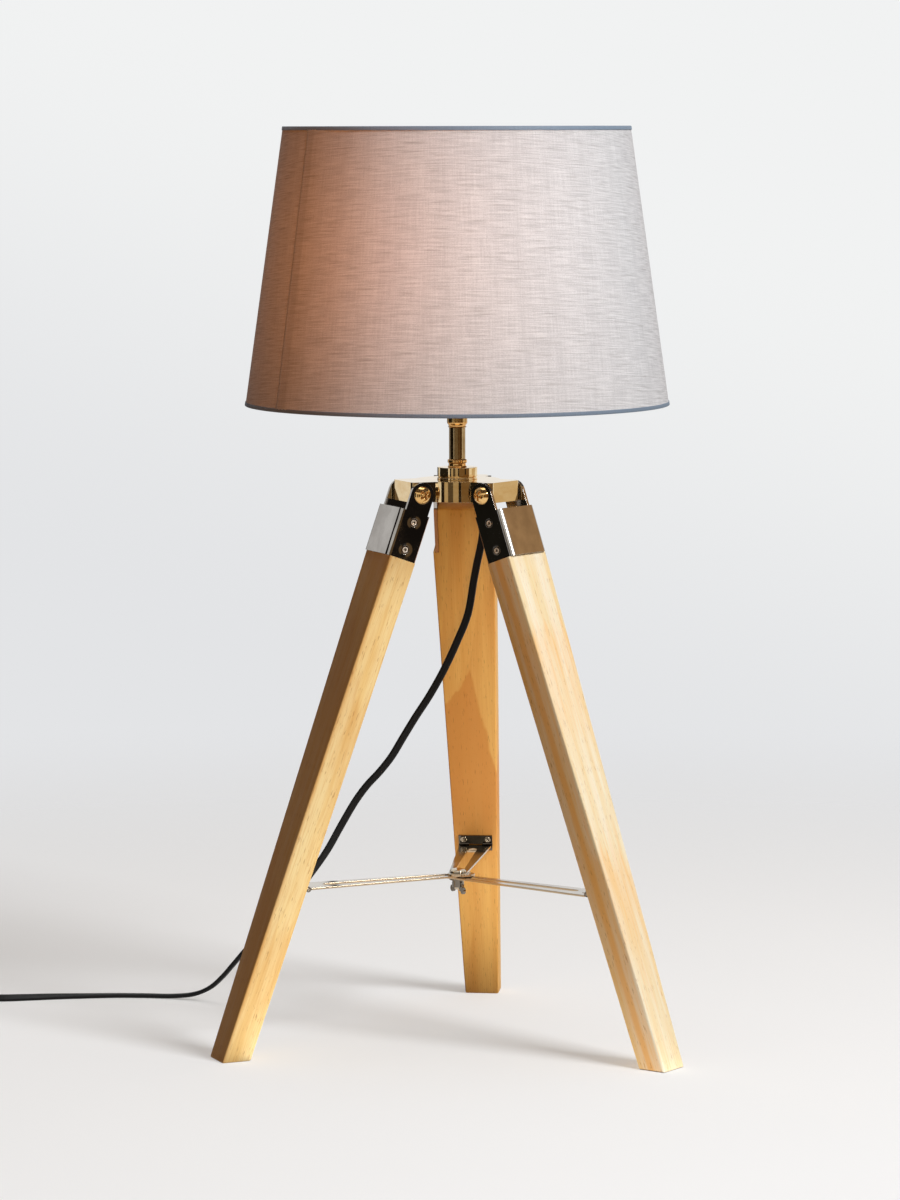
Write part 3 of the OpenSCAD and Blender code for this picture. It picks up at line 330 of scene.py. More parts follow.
def tie(bearing):
    """A strap on a bearing round the coil: its outer and inner outlines are superellipses one
    thickness apart, from tie_near to tie_far, and each runs along both edges of its width."""
    turn = math.radians(bearing)
    outwards = np.array([math.cos(turn), math.sin(turn)])
    sideways = np.array([-math.sin(turn), math.cos(turn)])
    half_long, half_tall = (tie_far - tie_near) / 2, tie_tall / 2
    outer = superellipse(half_long, half_tall, 8, 72)
    inner = superellipse(half_long - tie_thick, half_tall - tie_thick, 8, 72)
    loops = []
    for rim, side in ((outer, -1), (outer, 1), (inner, 1), (inner, -1), (outer, -1)):
        out = (tie_near + tie_far) / 2 + rim[:, :1]
        flat_at = coil_middle + out * outwards + side * tie_wide / 2 * sideways
        loops.append(np.column_stack([flat_at, half_tall + rim[:, 1]]))
    return shell(np.stack(loops), ends=False)


tie_plastic = Finish("tie_plastic")
ribs = tie_plastic.cloud(tie_plastic.place((1, 1, 6)), 500, 2)
tie_plastic.done(Base_Color=tie_plastic.mix(ribs, tint(38, 38, 40), tint(52, 52, 55)),
                 Roughness=0.55, Normal=tie_plastic.bump(ribs, 0.0001, 0.6))
coil_ties = piece("coil_straps", "lamp", [tie(0), tie(250)], tie_plastic, ("coil_ties",))

# ---------------------------------------------------------------- plug
# A flat two-pin plug moulded on to the lead: a ribbed sleeve that swells into a flat grip,
# and two round pins, sleeved in black where they leave it.
plug_long, sleeve_long, grip_from = 54 * mm, 20 * mm, 35.5 * mm
sleeve_thin, sleeve_full, grip_wide, grip_tall = 3.1 * mm, 5.5 * mm, 17.65 * mm, 6.85 * mm
rib_deep, rib_pitch, end_bend = 0.35 * mm, 2.4 * mm, 0.9 * mm

# half sizes at each distance from the lead's end: sleeve, swell to the grip, less ribs and end
length = np.concatenate([
    np.linspace(0, 20, 61), np.linspace(20.4, 53.2, 42), [53.7, 53.95, 54.0]]) * mm
swell = smooth(length, sleeve_long, grip_from)
rib = rib_deep * (0.5 - 0.5 * np.cos(length / rib_pitch * 2 * np.pi)) \
    * (length > rib_pitch) * (length < 8 * rib_pitch)
sleeve = sleeve_thin + (sleeve_full - sleeve_thin) * np.clip(length / sleeve_long, 0, 1)
bent = np.clip((length - (plug_long - end_bend)) / end_bend, 0, 1)
end_round = end_bend * (1 - np.sqrt(1 - bent**2))
half_wide = sleeve + (grip_wide - sleeve_full) * swell - rib - end_round
half_tall = sleeve + (grip_tall - sleeve_full) * swell - rib - end_round
stations = superellipse(half_wide[:, None], half_tall[:, None], (2 + 0.5 * swell)[:, None], 64)
behind = plug_at[1] - np.broadcast_to(length[:, None], stations.shape[:2])
plug_points = np.stack([plug_at[0] + stations[..., 0], behind, plug_at[2] + stations[..., 1]], -1)
plug = piece("plug", "lamp", [shell(plug_points)], pvc, ("plug_body",))


def turned(profile, sides=64, closed=False):
    """A profile of (radius, height) rows turned about the upright axis: row i, side j is at
    radius r_i and angle 2 pi j / sides. A closed profile joins its last row to its first."""
    rows = np.vstack([profile, profile[:1]]) if closed else np.asarray(profile, float)
    t = np.linspace(0, 2 * np.pi, sides, endpoint=False)
    r, z = rows[:, :1], rows[:, 1:]
    return shell(np.stack([r * np.cos(t), r * np.sin(t), z + 0 * t], -1), ends=not closed)


def laid(a_shell, matrix):
    """A shell moved by a 4 x 4 matrix."""
    points, faces = a_shell
    m = np.array(matrix)
    return points @ m[:3, :3].T + m[:3, 3], faces


def rounded(profile, radius, bends=5):
    """A profile whose inner corners are cut back and rounded by quadratic curves."""
    p = np.asarray(profile, float)
    before, here, after = p[:-2], p[1:-1], p[2:]
    cut = np.minimum(radius, 0.45 * np.minimum(np.linalg.norm(here - before, axis=1),
                                              np.linalg.norm(after - here, axis=1)))[:, None]
    start, end = here + unit(before - here) * cut, here + unit(after - here) * cut
    t = np.linspace(0, 1, bends)[None, :, None]
    arcs = start[:, None] * (1 - t) ** 2 + 2 * here[:, None] * t * (1 - t) + end[:, None] * t**2
    return np.vstack([p[:1], arcs.reshape(-1, 2), p[-1:]])


pin_apart, pin_sleeve, pin_blend = 9.3 * mm, 10.4 * mm, 0.2 * mm
pin_profile = rounded(np.array([[0, -4], [2, -4], [2, 19], [0, 19]]) * mm, 1.1 * mm)
pins = []
for side in (-1, 1):
    root = Matrix.Translation((plug_at[0] + side * pin_apart, plug_at[1] - plug_long, plug_at[2]))
    pins.append(laid(turned(pin_profile, 32), root @ Matrix.Rotation(math.radians(90), 4, "X")))
pin_metal = Finish("pin_metal")
along = pin_metal.node("SeparateXYZ", None, {0: pin_metal.node("TexCoord", output="Object")}, "Y")
sleeve_end = plug_at[1] - plug_long - pin_sleeve
bare = pin_metal.between(along, sleeve_end - pin_blend, sleeve_end + pin_blend, 1.0, 0.0)
worn = pin_metal.cloud(pin_metal.place((1, 0.1, 1)), 1500, 3)
pin_metal.done(Base_Color=pin_metal.mix(bare, tint(26, 26, 27), tint(205, 202, 190)),
               Metallic=bare, Roughness=pin_metal.between(worn, 0.3, 0.7, 0.22, 0.42))
plug_prongs = piece("plug_prongs", "lamp", pins, pin_metal, ("plug_pins",))

# ---------------------------------------------------------------- grommet
# A moulded rubber grommet in the hub's cover: a flange, and a tapered ribbed sleeve
# that keeps the lead from kinking.

grommet_z = 386.739 * mm
root_r, tip_r, sleeve_down, groove_pitch = 4.2, 3.2, 20, 2.5
down = np.linspace(0, sleeve_down, 81)
taper = root_r + (tip_r - root_r) * down / sleeve_down
grooves = 0.45 * (0.5 - 0.5 * np.cos(down / groove_pitch * 2 * np.pi)) \
    * (down > groove_pitch) * (down < 7 * groove_pitch)
grommet_profile = np.vstack([
    [[0, 1.5], [4.2, 1.5], [4.2, 0], [5.2, 0], [5.6, -0.3], [5.6, -1.1], [5.2, -1.4]],
    np.stack([taper - grooves, -1.4 - down], -1), [[2.6, -21.4], [0, -21.3]]]) * mm
grommet_at = Matrix.Translation((lead_exit[0], lead_exit[1], grommet_z))
grommet = piece("grommet", "lamp", [laid(turned(grommet_profile, 40), grommet_at)], pvc,
                ("cord_gland",))

# ---------------------------------------------------------------- hub
# A three-armed casting, machined flat, polished and plated gold, with its edges broken. The
# boss on top, the cover below and all their screws have the same finish.


def gilt(name, light, deep, low=0.05, high=0.12):
    """Polished gold plate: its colour drifts a little and its gloss varies in soft smears,
    with hairline scratches."""
    f = Finish(name)
    smear = f.cloud(f.place((1, 1, 2.2)), 70, 4, 0.6)
    lines = f.cloud(f.place((40, 3, 3), (0, 0, 0.6)), 60, 3, 0.7)
    return f.done(
        Base_Color=f.mix(f.between(smear, 0.35, 0.65), deep, light), Metallic=1.0,
        Roughness=f.between(smear, 0.35, 0.7, low, high),
        Normal=f.bump(lines, 0.00001, 0.12))


def softened(name, node, body, finish, width, turns=3, merge=2e-6):
    """A copy of the CAD node with its doubled points merged and its flats joined, a rounded
    edge of the given width wherever two faces meet at more than 30 degrees, and shading
    that follows the larger faces, so that flats stay flat."""
    work = bmesh.new()
    work.from_mesh(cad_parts[node].data)
    bmesh.ops.remove_doubles(work, verts=work.verts, dist=merge)
    bmesh.ops.dissolve_limit(
        work, angle_limit=math.radians(0.6), verts=work.verts, edges=work.edges)
    mesh = bpy.data.meshes.new(name)
    work.to_mesh(mesh)
    work.free()
    mesh.materials.clear()
    mesh.materials.append(finish.material)
    mesh.shade_smooth()
    made = bpy.data.objects.new(name, mesh)
    bpy.context.scene.collection.objects.link(made)
    bevel = made.modifiers.new("edges", "BEVEL")
    bevel.width, bevel.segments = width, turns
    bevel.limit_method, bevel.angle_limit = "ANGLE", math.radians(30)
    bevel.use_clamp_overlap = True
    flats = made.modifiers.new("flats", "WEIGHTED_NORMAL")
    flats.keep_sharp, flats.weight = True, 100
    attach(made, body)
    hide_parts(node)
    return made


def dress(node, finish):
    """A CAD node that keeps its own shape gets its finish."""
    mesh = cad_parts[node].data
    if not mesh.materials:
        mesh.materials.append(finish.material)
    for index in range(len(mesh.materials)):
        mesh.materials[index] = finish.material


hub_gold = gilt("hub_gold", tint(244, 216, 166), tint(234, 200, 144), 0.04, 0.09)
hub = softened("hub_casting", "hub", "lamp", hub_gold, 0.7 * mm, 3)
cover = softened("hub_lid", "hub_cover", "lamp", hub_gold, 0.25 * mm, 2)
cover_heads = softened("cover_screw_heads", "cover_screws", "lamp", hub_gold, 0.2 * mm, 2)
steel_nut = Finish("steel_nut")
steel_nut.done(Base_Color=tint(190, 188, 184), Metallic=1.0, Roughness=steel_nut.between(
    steel_nut.cloud(steel_nut.place(), 400, 3), 0.3, 0.7, 0.2, 0.4))
dress("hub_nut", steel_nut)

hub_top = 400.939 * mm
boss_profile = np.array([[5.1, 0], [14.1, 0], [14.1, 1.2], [13.45, 1.3], [13.45, 1.8],
                         [14.1, 1.95], [14.1, 8.6], [5.1, 8.6]]) * mm


def ring_of(profile, radius):
    """A closed profile with every corner rounded, ready to be turned into a ring."""
    twice = np.vstack([profile[-1:], profile, profile[:1]])
    return rounded(twice, radius)[1:-1]


def raised(a_shell, up):
    """A shell moved up the lamp's axis."""
    return laid(a_shell, Matrix.Translation((0, 0, up)))


boss_ring = turned(ring_of(boss_profile, 0.3 * mm), 96, closed=True)
boss = piece("boss", "lamp", [raised(boss_ring, hub_top)], hub_gold, ("hub_boss",), crease=60)

# ---------------------------------------------------------------- pivot screws
# Each arm carries two domed screws with a cross recess. They are turned, plated like the
# hub, and a nylon washer lies under each bracket's ear.

arm_bearings = {"back": 90, "left": 210, "right": 330}
pivot_r, pivot_z = 35.5 * mm, 392.139 * mm


def screw_head(radius, rise, recess, depth, shank, long, flat_rim=0.0, sides=64):
    """A turned screw, head up at the origin. The head's height over a disc of radius R is
    rise (1 - (r/R)^2)^0.8 and a rim, less a cross: two tapered slots whose depth falls
    smoothly at their sides and ends. The shank hangs below."""
    r = (np.linspace(0, 1, 30) ** 0.9 * radius)[:, None]
    t = np.linspace(0, 2 * np.pi, sides, endpoint=False)[None, :]
    x, y = r * np.cos(t), r * np.sin(t)
    dome = flat_rim + rise * (1 - (r / radius) ** 2) ** 0.8
    narrow, wide = np.minimum(np.abs(x), np.abs(y)), np.maximum(np.abs(x), np.abs(y))
    slot = (1 - smooth(narrow, recess * 0.16, recess * 0.3)) \
        * (1 - smooth(wide, recess * 0.8, recess * 1.02))
    z = dome - depth * slot * (1 - 0.45 * np.clip(wide / recess, 0, 1))
    top = np.stack([x, y, z + 0 * t], -1)
    under = np.array([[radius, 0], [shank, 0], [shank, -long], [shank * 0.6, -long]])
    r, down = under[:, :1], under[:, 1:]
    below = np.stack([r * np.cos(t), r * np.sin(t), down + 0 * t], -1)
    return shell(np.concatenate([top, below]), ends=True)


head_out, washer_out = 20.6 * mm, 17.5 * mm
pivot_shape = screw_head(6.2 * mm, 3.8 * mm, 3.4 * mm, 2.6 * mm, 3 * mm, 13.1 * mm, 0.0, 80)
washer_ring = turned(np.array([[3.1, 0], [5.6, 0], [5.6, 0.4], [3.1, 0.4]]) * mm, 40, closed=True)
screws, washers = [], []
for bearing in arm_bearings.values():
    for side in (-1, 1):
        arm = Matrix.Rotation(math.radians(bearing), 4, "Z")
        face = Matrix.Rotation(math.radians(-90 * side), 4, "X")
        spin = Matrix.Rotation(math.radians(bearing * 1.7 + 40 * side), 4, "Z")
        screw_at = arm @ Matrix.Translation((pivot_r, side * head_out, pivot_z)) @ face
        washer_at = arm @ Matrix.Translation((pivot_r, side * washer_out, pivot_z)) @ face
        screws.append(laid(pivot_shape, screw_at @ spin))
        washers.append(laid(washer_ring, washer_at))
dome_gold = gilt("dome_gold", tint(242, 200, 134), tint(228, 178, 108), 0.04, 0.09)
pivots = piece("pivot_screws_domed", "lamp", screws, dome_gold, ("pivot_screws",), crease=70)
nylon = Finish("nylon")
nylon.done(Roughness=0.45, Base_Color=nylon.mix(
    nylon.cloud(nylon.place(), 300), tint(30, 30, 31), tint(46, 46, 47)))
pivot_rings = piece("pivot_washers_nylon", "lamp", washers, nylon, ("pivot_washers",))

# ---------------------------------------------------------------- leg brackets
# Sheet steel folded to a channel over each leg's head, its ears turning on the pivot
# screws; polished, so that it mirrors the room. Two countersunk screws pull each cheek
# in a little round them.

lean = math.radians(19.5)
cheek_half, screw_rows = 20.5 * mm, (20.2 * mm, 40 * mm)


def on_leg(bearing):
    """The place of a leg's own frame: the pivot at the origin and the leg down its -Z."""
    turn, pivot = math.radians(bearing), (pivot_r, 0, pivot_z)
    return (Matrix.Rotation(turn, 4, "Z") @ Matrix.Translation(pivot)
            @ Matrix.Rotation(-lean, 4, "Y"))


def leg_place(f, bearing):
    """Where a point is in the leg's own frame: the opposite of on_leg, as two Mapping nodes."""
    turned_back = f.node("Mapping", None, {
        "Vector": f.node("TexCoord", output="Object"), "Rotation": (0, 0, -math.radians(bearing)),
        "Location": (-pivot_r, 0, -pivot_z)})
    return f.node("Mapping", None, {"Vector": turned_back, "Rotation": (0, lean, 0)})


def mirror_steel(name, light, deep, low, high, scratch=(30, 3, 3), bearing=None, cut=None):
    """Polished steel: colour and gloss drift slowly, with fine scratches one way. A bracket's
    is dished by 0.15 mm round the screws and a little wavy, and its inner edge is dull and
    rough as a raw edge, with a painted reflection of the wood: a brown colour. A stay's
    faces that face sideways, its cut edges, take the colour cut, a painted reflection."""
    f = Finish(name)
    scratch_deep, dish_deep, wave_deep = 0.00001, 0.15, 0.5
    drift = f.cloud(f.place((1, 1, 1)), 45, 4, 0.55)
    lines = f.cloud(f.place(scratch, (0.3, 0.2, 0.8)), 90, 4, 0.75)
    fine = {"Height": lines, "Distance": scratch_deep, "Strength": 0.4}
    raw_edge_and_painted_reflection = 0.0
    if bearing is not None:
        at = leg_place(f, bearing)
        dished = 0.0
        for down in screw_rows:
            away = f.node("VectorMath", {"operation": "MULTIPLY_ADD"},
                          {0: at, 1: (1, 0, 1), 2: (0, 0, down)})
            reach = f.node("VectorMath", {"operation": "LENGTH"}, {0: away}, "Value")
            dished = f.between(reach, 2.4 * mm, 5.6 * mm) + dished
        waves = f.cloud(f.place((1, 1, 0.7)), 38, 1, 0.4)
        fine["Normal"] = f.bump(dished * dish_deep + waves * wave_deep, 0.001, 1.0)
        # painted reflection: the inner edge is coloured brown like the wood it mirrors, and is
        # duller and rougher as a raw edge
        raw_edge_and_painted_reflection = f.between(f.node("SeparateXYZ", None, {0: at}, "X"), -9.9 * mm, -9.5 * mm, 1.0, 0.0)
    relief = f.node("Bump", None, fine)
    colour = f.mix(f.between(drift, 0.32, 0.68), deep, light)
    # painted reflection: faces that face sideways take the colour cut, as the wood looks mirrored
    # in them
    if cut:
        level = f.node("SeparateXYZ", None, {0: f.node("TexCoord", output="Normal")}, "Z")
        steep = f.node("Math", {"operation": "ABSOLUTE"}, {0: level})
        colour = f.mix(f.between(steep, 0.35, 0.6, 1.0, 0.0), colour, cut)
    return f.done(
        Base_Color=f.mix(raw_edge_and_painted_reflection, colour, tint(186, 128, 76)), Metallic=1 - raw_edge_and_painted_reflection * 0.8,
        Roughness=f.between(drift, 0.35, 0.65, low, high) + raw_edge_and_painted_reflection * 0.4, Normal=relief)


def screw_finish(leg, bearing):
    """A cheek screw: the sheet's own dark steel, with a painted highlight, a pale ring round its
    recess, between 1.2 and 1.9 mm from the middle of its own row."""
    f = Finish(f"cheek_screw_{leg}")
    upper, lower = screw_rows
    at = leg_place(f, bearing)
    down = f.node("SeparateXYZ", None, {0: at}, "Z")
    is_upper = f.node("Math", {"operation": "GREATER_THAN"}, {0: down, 1: -(upper + lower) / 2})
    middle = f.node("CombineXYZ", None, {2: is_upper * (lower - upper) - lower})
    flat = f.node("VectorMath", {"operation": "MULTIPLY"}, {0: at, 1: (1, 0, 1)})
    away = f.node("VectorMath", {"operation": "DISTANCE"}, {0: flat, 1: middle}, "Value")
    worn = f.cloud(f.place(), 700, 2)
    # painted highlight: a pale ring, less metallic and a little rougher than the head
    painted_highlight = f.between(away, 0.9 * mm, 1.2 * mm) * f.between(away, 1.9 * mm, 2.3 * mm, 1.0, 0.0)
    return f.done(
        Base_Color=f.mix(painted_highlight, tint(120, 104, 88), tint(250, 244, 232)),
        Metallic=1 - painted_highlight * 0.7, Roughness=f.between(worn, 0.3, 0.7, 0.06, 0.14) + painted_highlight * 0.15)


screw_bright = mirror_steel("screw_bright", tint(222, 208, 186), tint(180, 164, 142), 0.06, 0.14)
side_screw = screw_head(
    3 * mm, 0.18 * mm, 1.4 * mm, 1.0 * mm, 1.5 * mm, 13 * mm, 0.02 * mm, 48)
for leg, bearing in arm_bearings.items():
    body = f"leg_{leg}_body"
    sheet = mirror_steel(f"sheet_{leg}", tint(186, 180, 172), tint(160, 153, 145), 0.03, 0.08,
                         bearing=bearing)
    bracket = softened(f"channel_{leg}", f"bracket_{leg}", body, sheet, 0.45 * mm, 3)
    heads = []
    for side in (-1, 1):
        for row, down in enumerate(screw_rows):
            spot = Matrix.Translation((0, side * cheek_half, -down))
            face = Matrix.Rotation(math.radians(-90 * side), 4, "X")
            spin = Matrix.Rotation(0.7 + 1.3 * row + side, 4, "Z")
            heads.append(laid(side_screw, on_leg(bearing) @ spot @ face @ spin))
    cheek_screws = piece(f"cheek_screws_{leg}", body, heads, screw_finish(leg, bearing),
                         (f"bracket_screws_{leg}",), crease=55)

# ---------------------------------------------------------------- legs
# Tapered pine boards, planed and oiled, with eased edges. The head is notched for the
# bracket's cheeks and the foot is sawn level with the surface. Each board has its own
# tints. The back one holds a patch of heartwood. The left and right ones carry painted
# shade: the left one's outer face is browner, and so is all but the right one's outer face.

leg_thick, head_wide, foot_wide = 20 * mm, 46 * mm, 25 * mm
leg_long, head_at, head_half, ease = 416 * mm, 13 * mm, 18 * mm, 1.0 * mm


def rounded_board(half_x, half_y, radius, bends=5):
    """A rectangle's outline with a quarter circle at each corner, starting at +x; half_y may
    be a column, one value for each row of the board."""
    quarter = np.linspace(0, np.pi / 2, bends)
    corner = np.concatenate([quarter + k * np.pi / 2 for k in range(4)])
    sign_x = np.repeat([1, -1, -1, 1], bends)
    sign_y = np.repeat([1, 1, -1, -1], bends)
    x = sign_x * (half_x - radius) + radius * np.cos(corner)
    y = sign_y * (half_y - radius) + radius * np.sin(corner)
    return np.broadcast_arrays(x, y)


def half_width(down):
    """Half the board's width at a distance below the pivot, falling evenly to the foot."""
    return (head_wide + (foot_wide - head_wide) * (down - head_at) / (leg_long - head_at)) / 2


def leg_board():
    """The leg in its own frame: its outline at each distance s down from the pivot, the first
    twelve of them within the bracket; the last rows run to the level cut, which lies at
    s = length + x tan(lean)."""
    s = np.concatenate([
        [13, 13.4, 14.2], np.linspace(18, 46, 8), [47, 47], np.linspace(50, 392, 58)]) * mm
    notch = (np.arange(len(s)) < 12)[:, None]
    half = np.where(notch, head_half, half_width(s)[:, None])
    inset = np.array([0.8, 0.25] + [0] * (len(s) - 2))[:, None] * mm
    x, y = rounded_board(leg_thick / 2 - inset, half - inset, ease)
    upper = np.stack([x, y, -np.broadcast_to(s[:, None], x.shape)], -1)
    share = np.array([0.25, 0.5, 0.75, 0.93, 0.985, 1.0])[:, None]
    inset = np.array([0, 0, 0, 0, 0.12, 0.6])[:, None] * mm
    end = leg_long + (leg_thick / 2) * np.tan(lean)
    half = half_width(s[-1] + share * (end - s[-1]))
    x, y = rounded_board(leg_thick / 2 - inset, half - inset, ease)
    down = s[-1] + share * (leg_long + x * np.tan(lean) - s[-1])
    return np.concatenate([upper, np.stack([x, y, -down], -1)])


def back_heart(f, x, y, down, wave):
    """The back board's heartwood: a tongue that opens downwards from 127 mm below the pivot
    with a wavy edge and closes again, darkest at its own upper end."""
    left = f.between(down + wave * 0.03 - y * 1.5, 0.157, 0.161)
    right = f.between(down + wave * 0.05 + y * 4.4, 0.160, 0.170)
    return left * right * f.between(down, 0.24, 0.33, 1.0, 0.0)


def right_painted_shade(f, x, y, down, wave):
    """Painted shade on the right board: all but its outer face browner, with a darker line along
    it.
    """
    away = f.node("Math", {"operation": "ABSOLUTE"}, {0: x + wave * 0.003 - 0.001})
    line = f.between(away, 0.001, 0.004, 1.0, 0.0)
    return f.between(x, 7 * mm, 9.4 * mm, 1.0, 0.0) * (line * 0.5 + 0.5)


def left_painted_shade_and_tone(f, x, y, down, wave):
    """Painted shade on the left board's outer face, and a breath of colour; it has no heartwood."""
    return f.between(x, 7 * mm, 9.4 * mm) * 0.6 + f.between(wave, 0.5, 0.9, 0.0, 0.2)


def pine(leg, bearing, pith, sap, yellow, dark_wood_and_shade_tint, heart_and_shade_of):
    """Oiled pine in its board's own frame: growth rings are the distance from a pith beside
    the board that wanders along it; fine streaks and short resin dashes run along the
    grain, with a slow drift of colour, and the board's own mask in the dark tint: its
    heartwood on the back board, painted shade on the left and right ones."""
    f = Finish(f"pine_{leg}")
    board = leg_place(f, bearing)
    x, y, z = (f.node("SeparateXYZ", None, {0: board}, axis) for axis in "XYZ")
    wander = f.cloud(f.place((4, 4, 4), of=board), 1.0, 2, output="Color")
    moved = f.node("VectorMath", {"operation": "MULTIPLY_ADD"},
                   {0: wander, 1: (0.04, 0.04, 0), 2: board})
    from_pith = f.node("VectorMath", {"operation": "MULTIPLY_ADD"},
                       {0: moved, 1: (1, 1, 0.02), 2: pith})
    away = f.node("VectorMath", {"operation": "LENGTH"}, {0: from_pith}, "Value")
    ripple = f.cloud(f.place((1, 1, 0.05), of=board), 200, 3)
    ring = f.node("Math", {"operation": "FRACT"}, {0: away * 290 + ripple * 0.6})
    late = f.between(ring, 0.3, 0.9) * f.between(ring, 0.92, 1.0, 1.0, 0.0)
    streak = f.cloud(f.place((1, 1, 0.014), of=board), 1500, 3, 0.65)
    broad = f.cloud(f.place((1, 1, 0.05), of=board), 110, 3, 0.5)
    dash = f.between(f.cloud(f.place((1, 1, 0.1), of=board), 1400, 1), 0.66, 0.72)
    wood = f.mix(f.between(broad, 0.3, 0.7), sap, yellow)
    wood = f.mix(late * f.between(broad, 0.2, 0.8, 0.1, 0.5), wood, dark_wood_and_shade_tint)
    wood = f.mix(f.between(streak, 0.42, 0.7) * 0.4, wood, dark_wood_and_shade_tint)
    wave = f.cloud(f.place((60, 60, 22), of=board), 1.0, 3, 0.55)
    # the dark tint over each board's mask: heartwood on the back board, painted shade on the others
    wood = f.mix(heart_and_shade_of(f, x, y, z * -1, wave) * 0.85, wood, dark_wood_and_shade_tint)
    wood = f.mix(dash * 0.5, wood, tint(160, 96, 40))
    return f.done(
        Base_Color=wood, Specular_IOR_Level=0.25, Roughness=f.between(streak, 0.3, 0.7, 0.5, 0.62),
        Normal=f.bump(late * 0.3 + streak * 0.5 - dash * 0.6, 0.00008, 0.6))


# Each board: its pith, sap, yellow and dark tints, and its mask: heartwood on the back board,
# painted shade on the left and right ones.
pine_boards = {
    "back": ((0.05, 0.012, 0.3), tint(247, 194, 108), tint(240, 180, 95), tint(224, 152, 74),
             back_heart),
    "left": ((-0.034, 0.03, 1.4), tint(245, 221, 163), tint(238, 200, 128), tint(214, 156, 82),
             left_painted_shade_and_tone),
    "right": ((0.031, -0.026, 2.6), tint(234, 228, 206), tint(228, 208, 160), tint(236, 174, 90),
              right_painted_shade),
}
board_points = leg_board()
for leg, bearing in arm_bearings.items():
    board = laid(shell(board_points), on_leg(bearing))
    made = piece(f"leg_pine_{leg}", f"leg_{leg}_body", [board],
                 pine(leg, bearing, *pine_boards[leg]), (f"leg_{leg}",), crease=35)

# ---------------------------------------------------------------- stays and hinges
# Three slotted steel plates, each with a rolled eye on a hinge that is screwed to its
# leg; a bolt through the slots clamps them under a wing nut. Polished, and scratched by
# sliding on each other.

hinge_at, leaf_out, screw_above, screw_half = 286.5 * mm, 11.2 * mm, 6.1 * mm, 8.8 * mm
pin_out = 12.2 * mm
# Three copies of one steel, each tinted as its stay looks in the light, the back one darker as
# painted shade; the cut colour is a painted reflection of the wood on their sideways faces.
stay_tints_lit_and_shaded = {
    "back": (tint(172, 166, 152), tint(112, 106, 94)),
    "left": (tint(204, 194, 180), tint(170, 160, 146)),
    "right": (tint(200, 192, 182), tint(160, 150, 138)),
}
stay_steel = {
    leg: mirror_steel(f"stay_steel_{leg}", *tints, 0.08, 0.18, (4, 40, 4), cut=tint(204, 180, 148))
    for leg, tints in stay_tints_lit_and_shaded.items()}
hinge_steel = mirror_steel("hinge_steel", tint(150, 141, 128), tint(108, 99, 88), 0.06, 0.14)
leaf_screw = screw_head(
    2.4 * mm, 0.5 * mm, 1.3 * mm, 0.8 * mm, 1.4 * mm, 11 * mm, 0.02 * mm, 40)
pin_profile = np.array([[0.02, -12.5], [0.9, -12.5], [0.9, 12.5], [0.02, 12.5]]) * mm
pin_shape = turned(ring_of(pin_profile, 0.25 * mm), 24, closed=True)
for leg, bearing in arm_bearings.items():
    body = f"leg_{leg}_body"
    stay_body = f"stay_{leg}_body"
    plate = softened(f"stay_plate_{leg}", f"stay_{leg}", stay_body, stay_steel[leg], 0.22 * mm, 2)
    leaf = softened(f"leaf_{leg}", f"stay_hinge_{leg}", body, hinge_steel, 0.2 * mm, 2)
    lying = Matrix.Translation((-pin_out, 0, -hinge_at)) @ Matrix.Rotation(math.radians(90), 4, "X")
    pin = piece(f"pin_{leg}", body, [laid(pin_shape, on_leg(bearing) @ lying)], screw_bright,
                (f"hinge_pin_{leg}",))
    heads = []
    for side in (-1, 1):
        spot = Matrix.Translation((-leaf_out, side * screw_half, screw_above - hinge_at))
        face = Matrix.Rotation(math.radians(-90), 4, "Y")
        spin = Matrix.Rotation(0.5 + side, 4, "Z")
        heads.append(laid(leaf_screw, on_leg(bearing) @ spot @ face @ spin))
    leaf_heads = piece(f"leaf_screws_{leg}", body, heads, screw_bright, (f"hinge_screws_{leg}",),
                       crease=55)

pin_level, stack_half, play = 118.0 * mm, 2.25 * mm, 0.05 * mm
washer_thick, nut_tall, thread_past = 1, 5, 2
head_arc = np.linspace(0, np.pi / 2, 14)[:, None]
bolt_dome = np.hstack([5.8 * np.cos(head_arc), 0.3 + 2.5 * np.sin(head_arc)])
bolt_end = -2 * 2.25 - 0.05 - washer_thick - nut_tall - thread_past
bolt_profile = np.vstack([
    [[0, bolt_end], [2.1, bolt_end], [2.5, bolt_end + 0.4], [2.5, 0], [5.6, 0], [5.8, 0.15]],
    bolt_dome]) * mm
bolt = piece("bolt_domed", "centre_bolt_body",
             [raised(turned(bolt_profile, 48), pin_level + stack_half + play)],
             screw_bright, ("centre_bolt",), crease=50)
washer_profile = np.array([[2.6, -1], [6.2, -1], [6.2, 0], [2.6, 0]]) * mm
washer_turned = turned(ring_of(washer_profile, 0.2 * mm), 48, closed=True)
bolt_washer = piece("bolt_washer", "centre_bolt_body",
                    [raised(washer_turned, pin_level - stack_half - play)],
                    hinge_steel, ("centre_washer",))
wings = softened("wing_nut_cast", "wing_nut", "wing_nut_body", hinge_steel, 0.5 * mm, 3)

# ---------------------------------------------------------------- stem
# An M10 threaded tube carries the lampholder. A short bronze cover tube hides it between
# a beaded collar on the boss and a flared one under the lampholder.

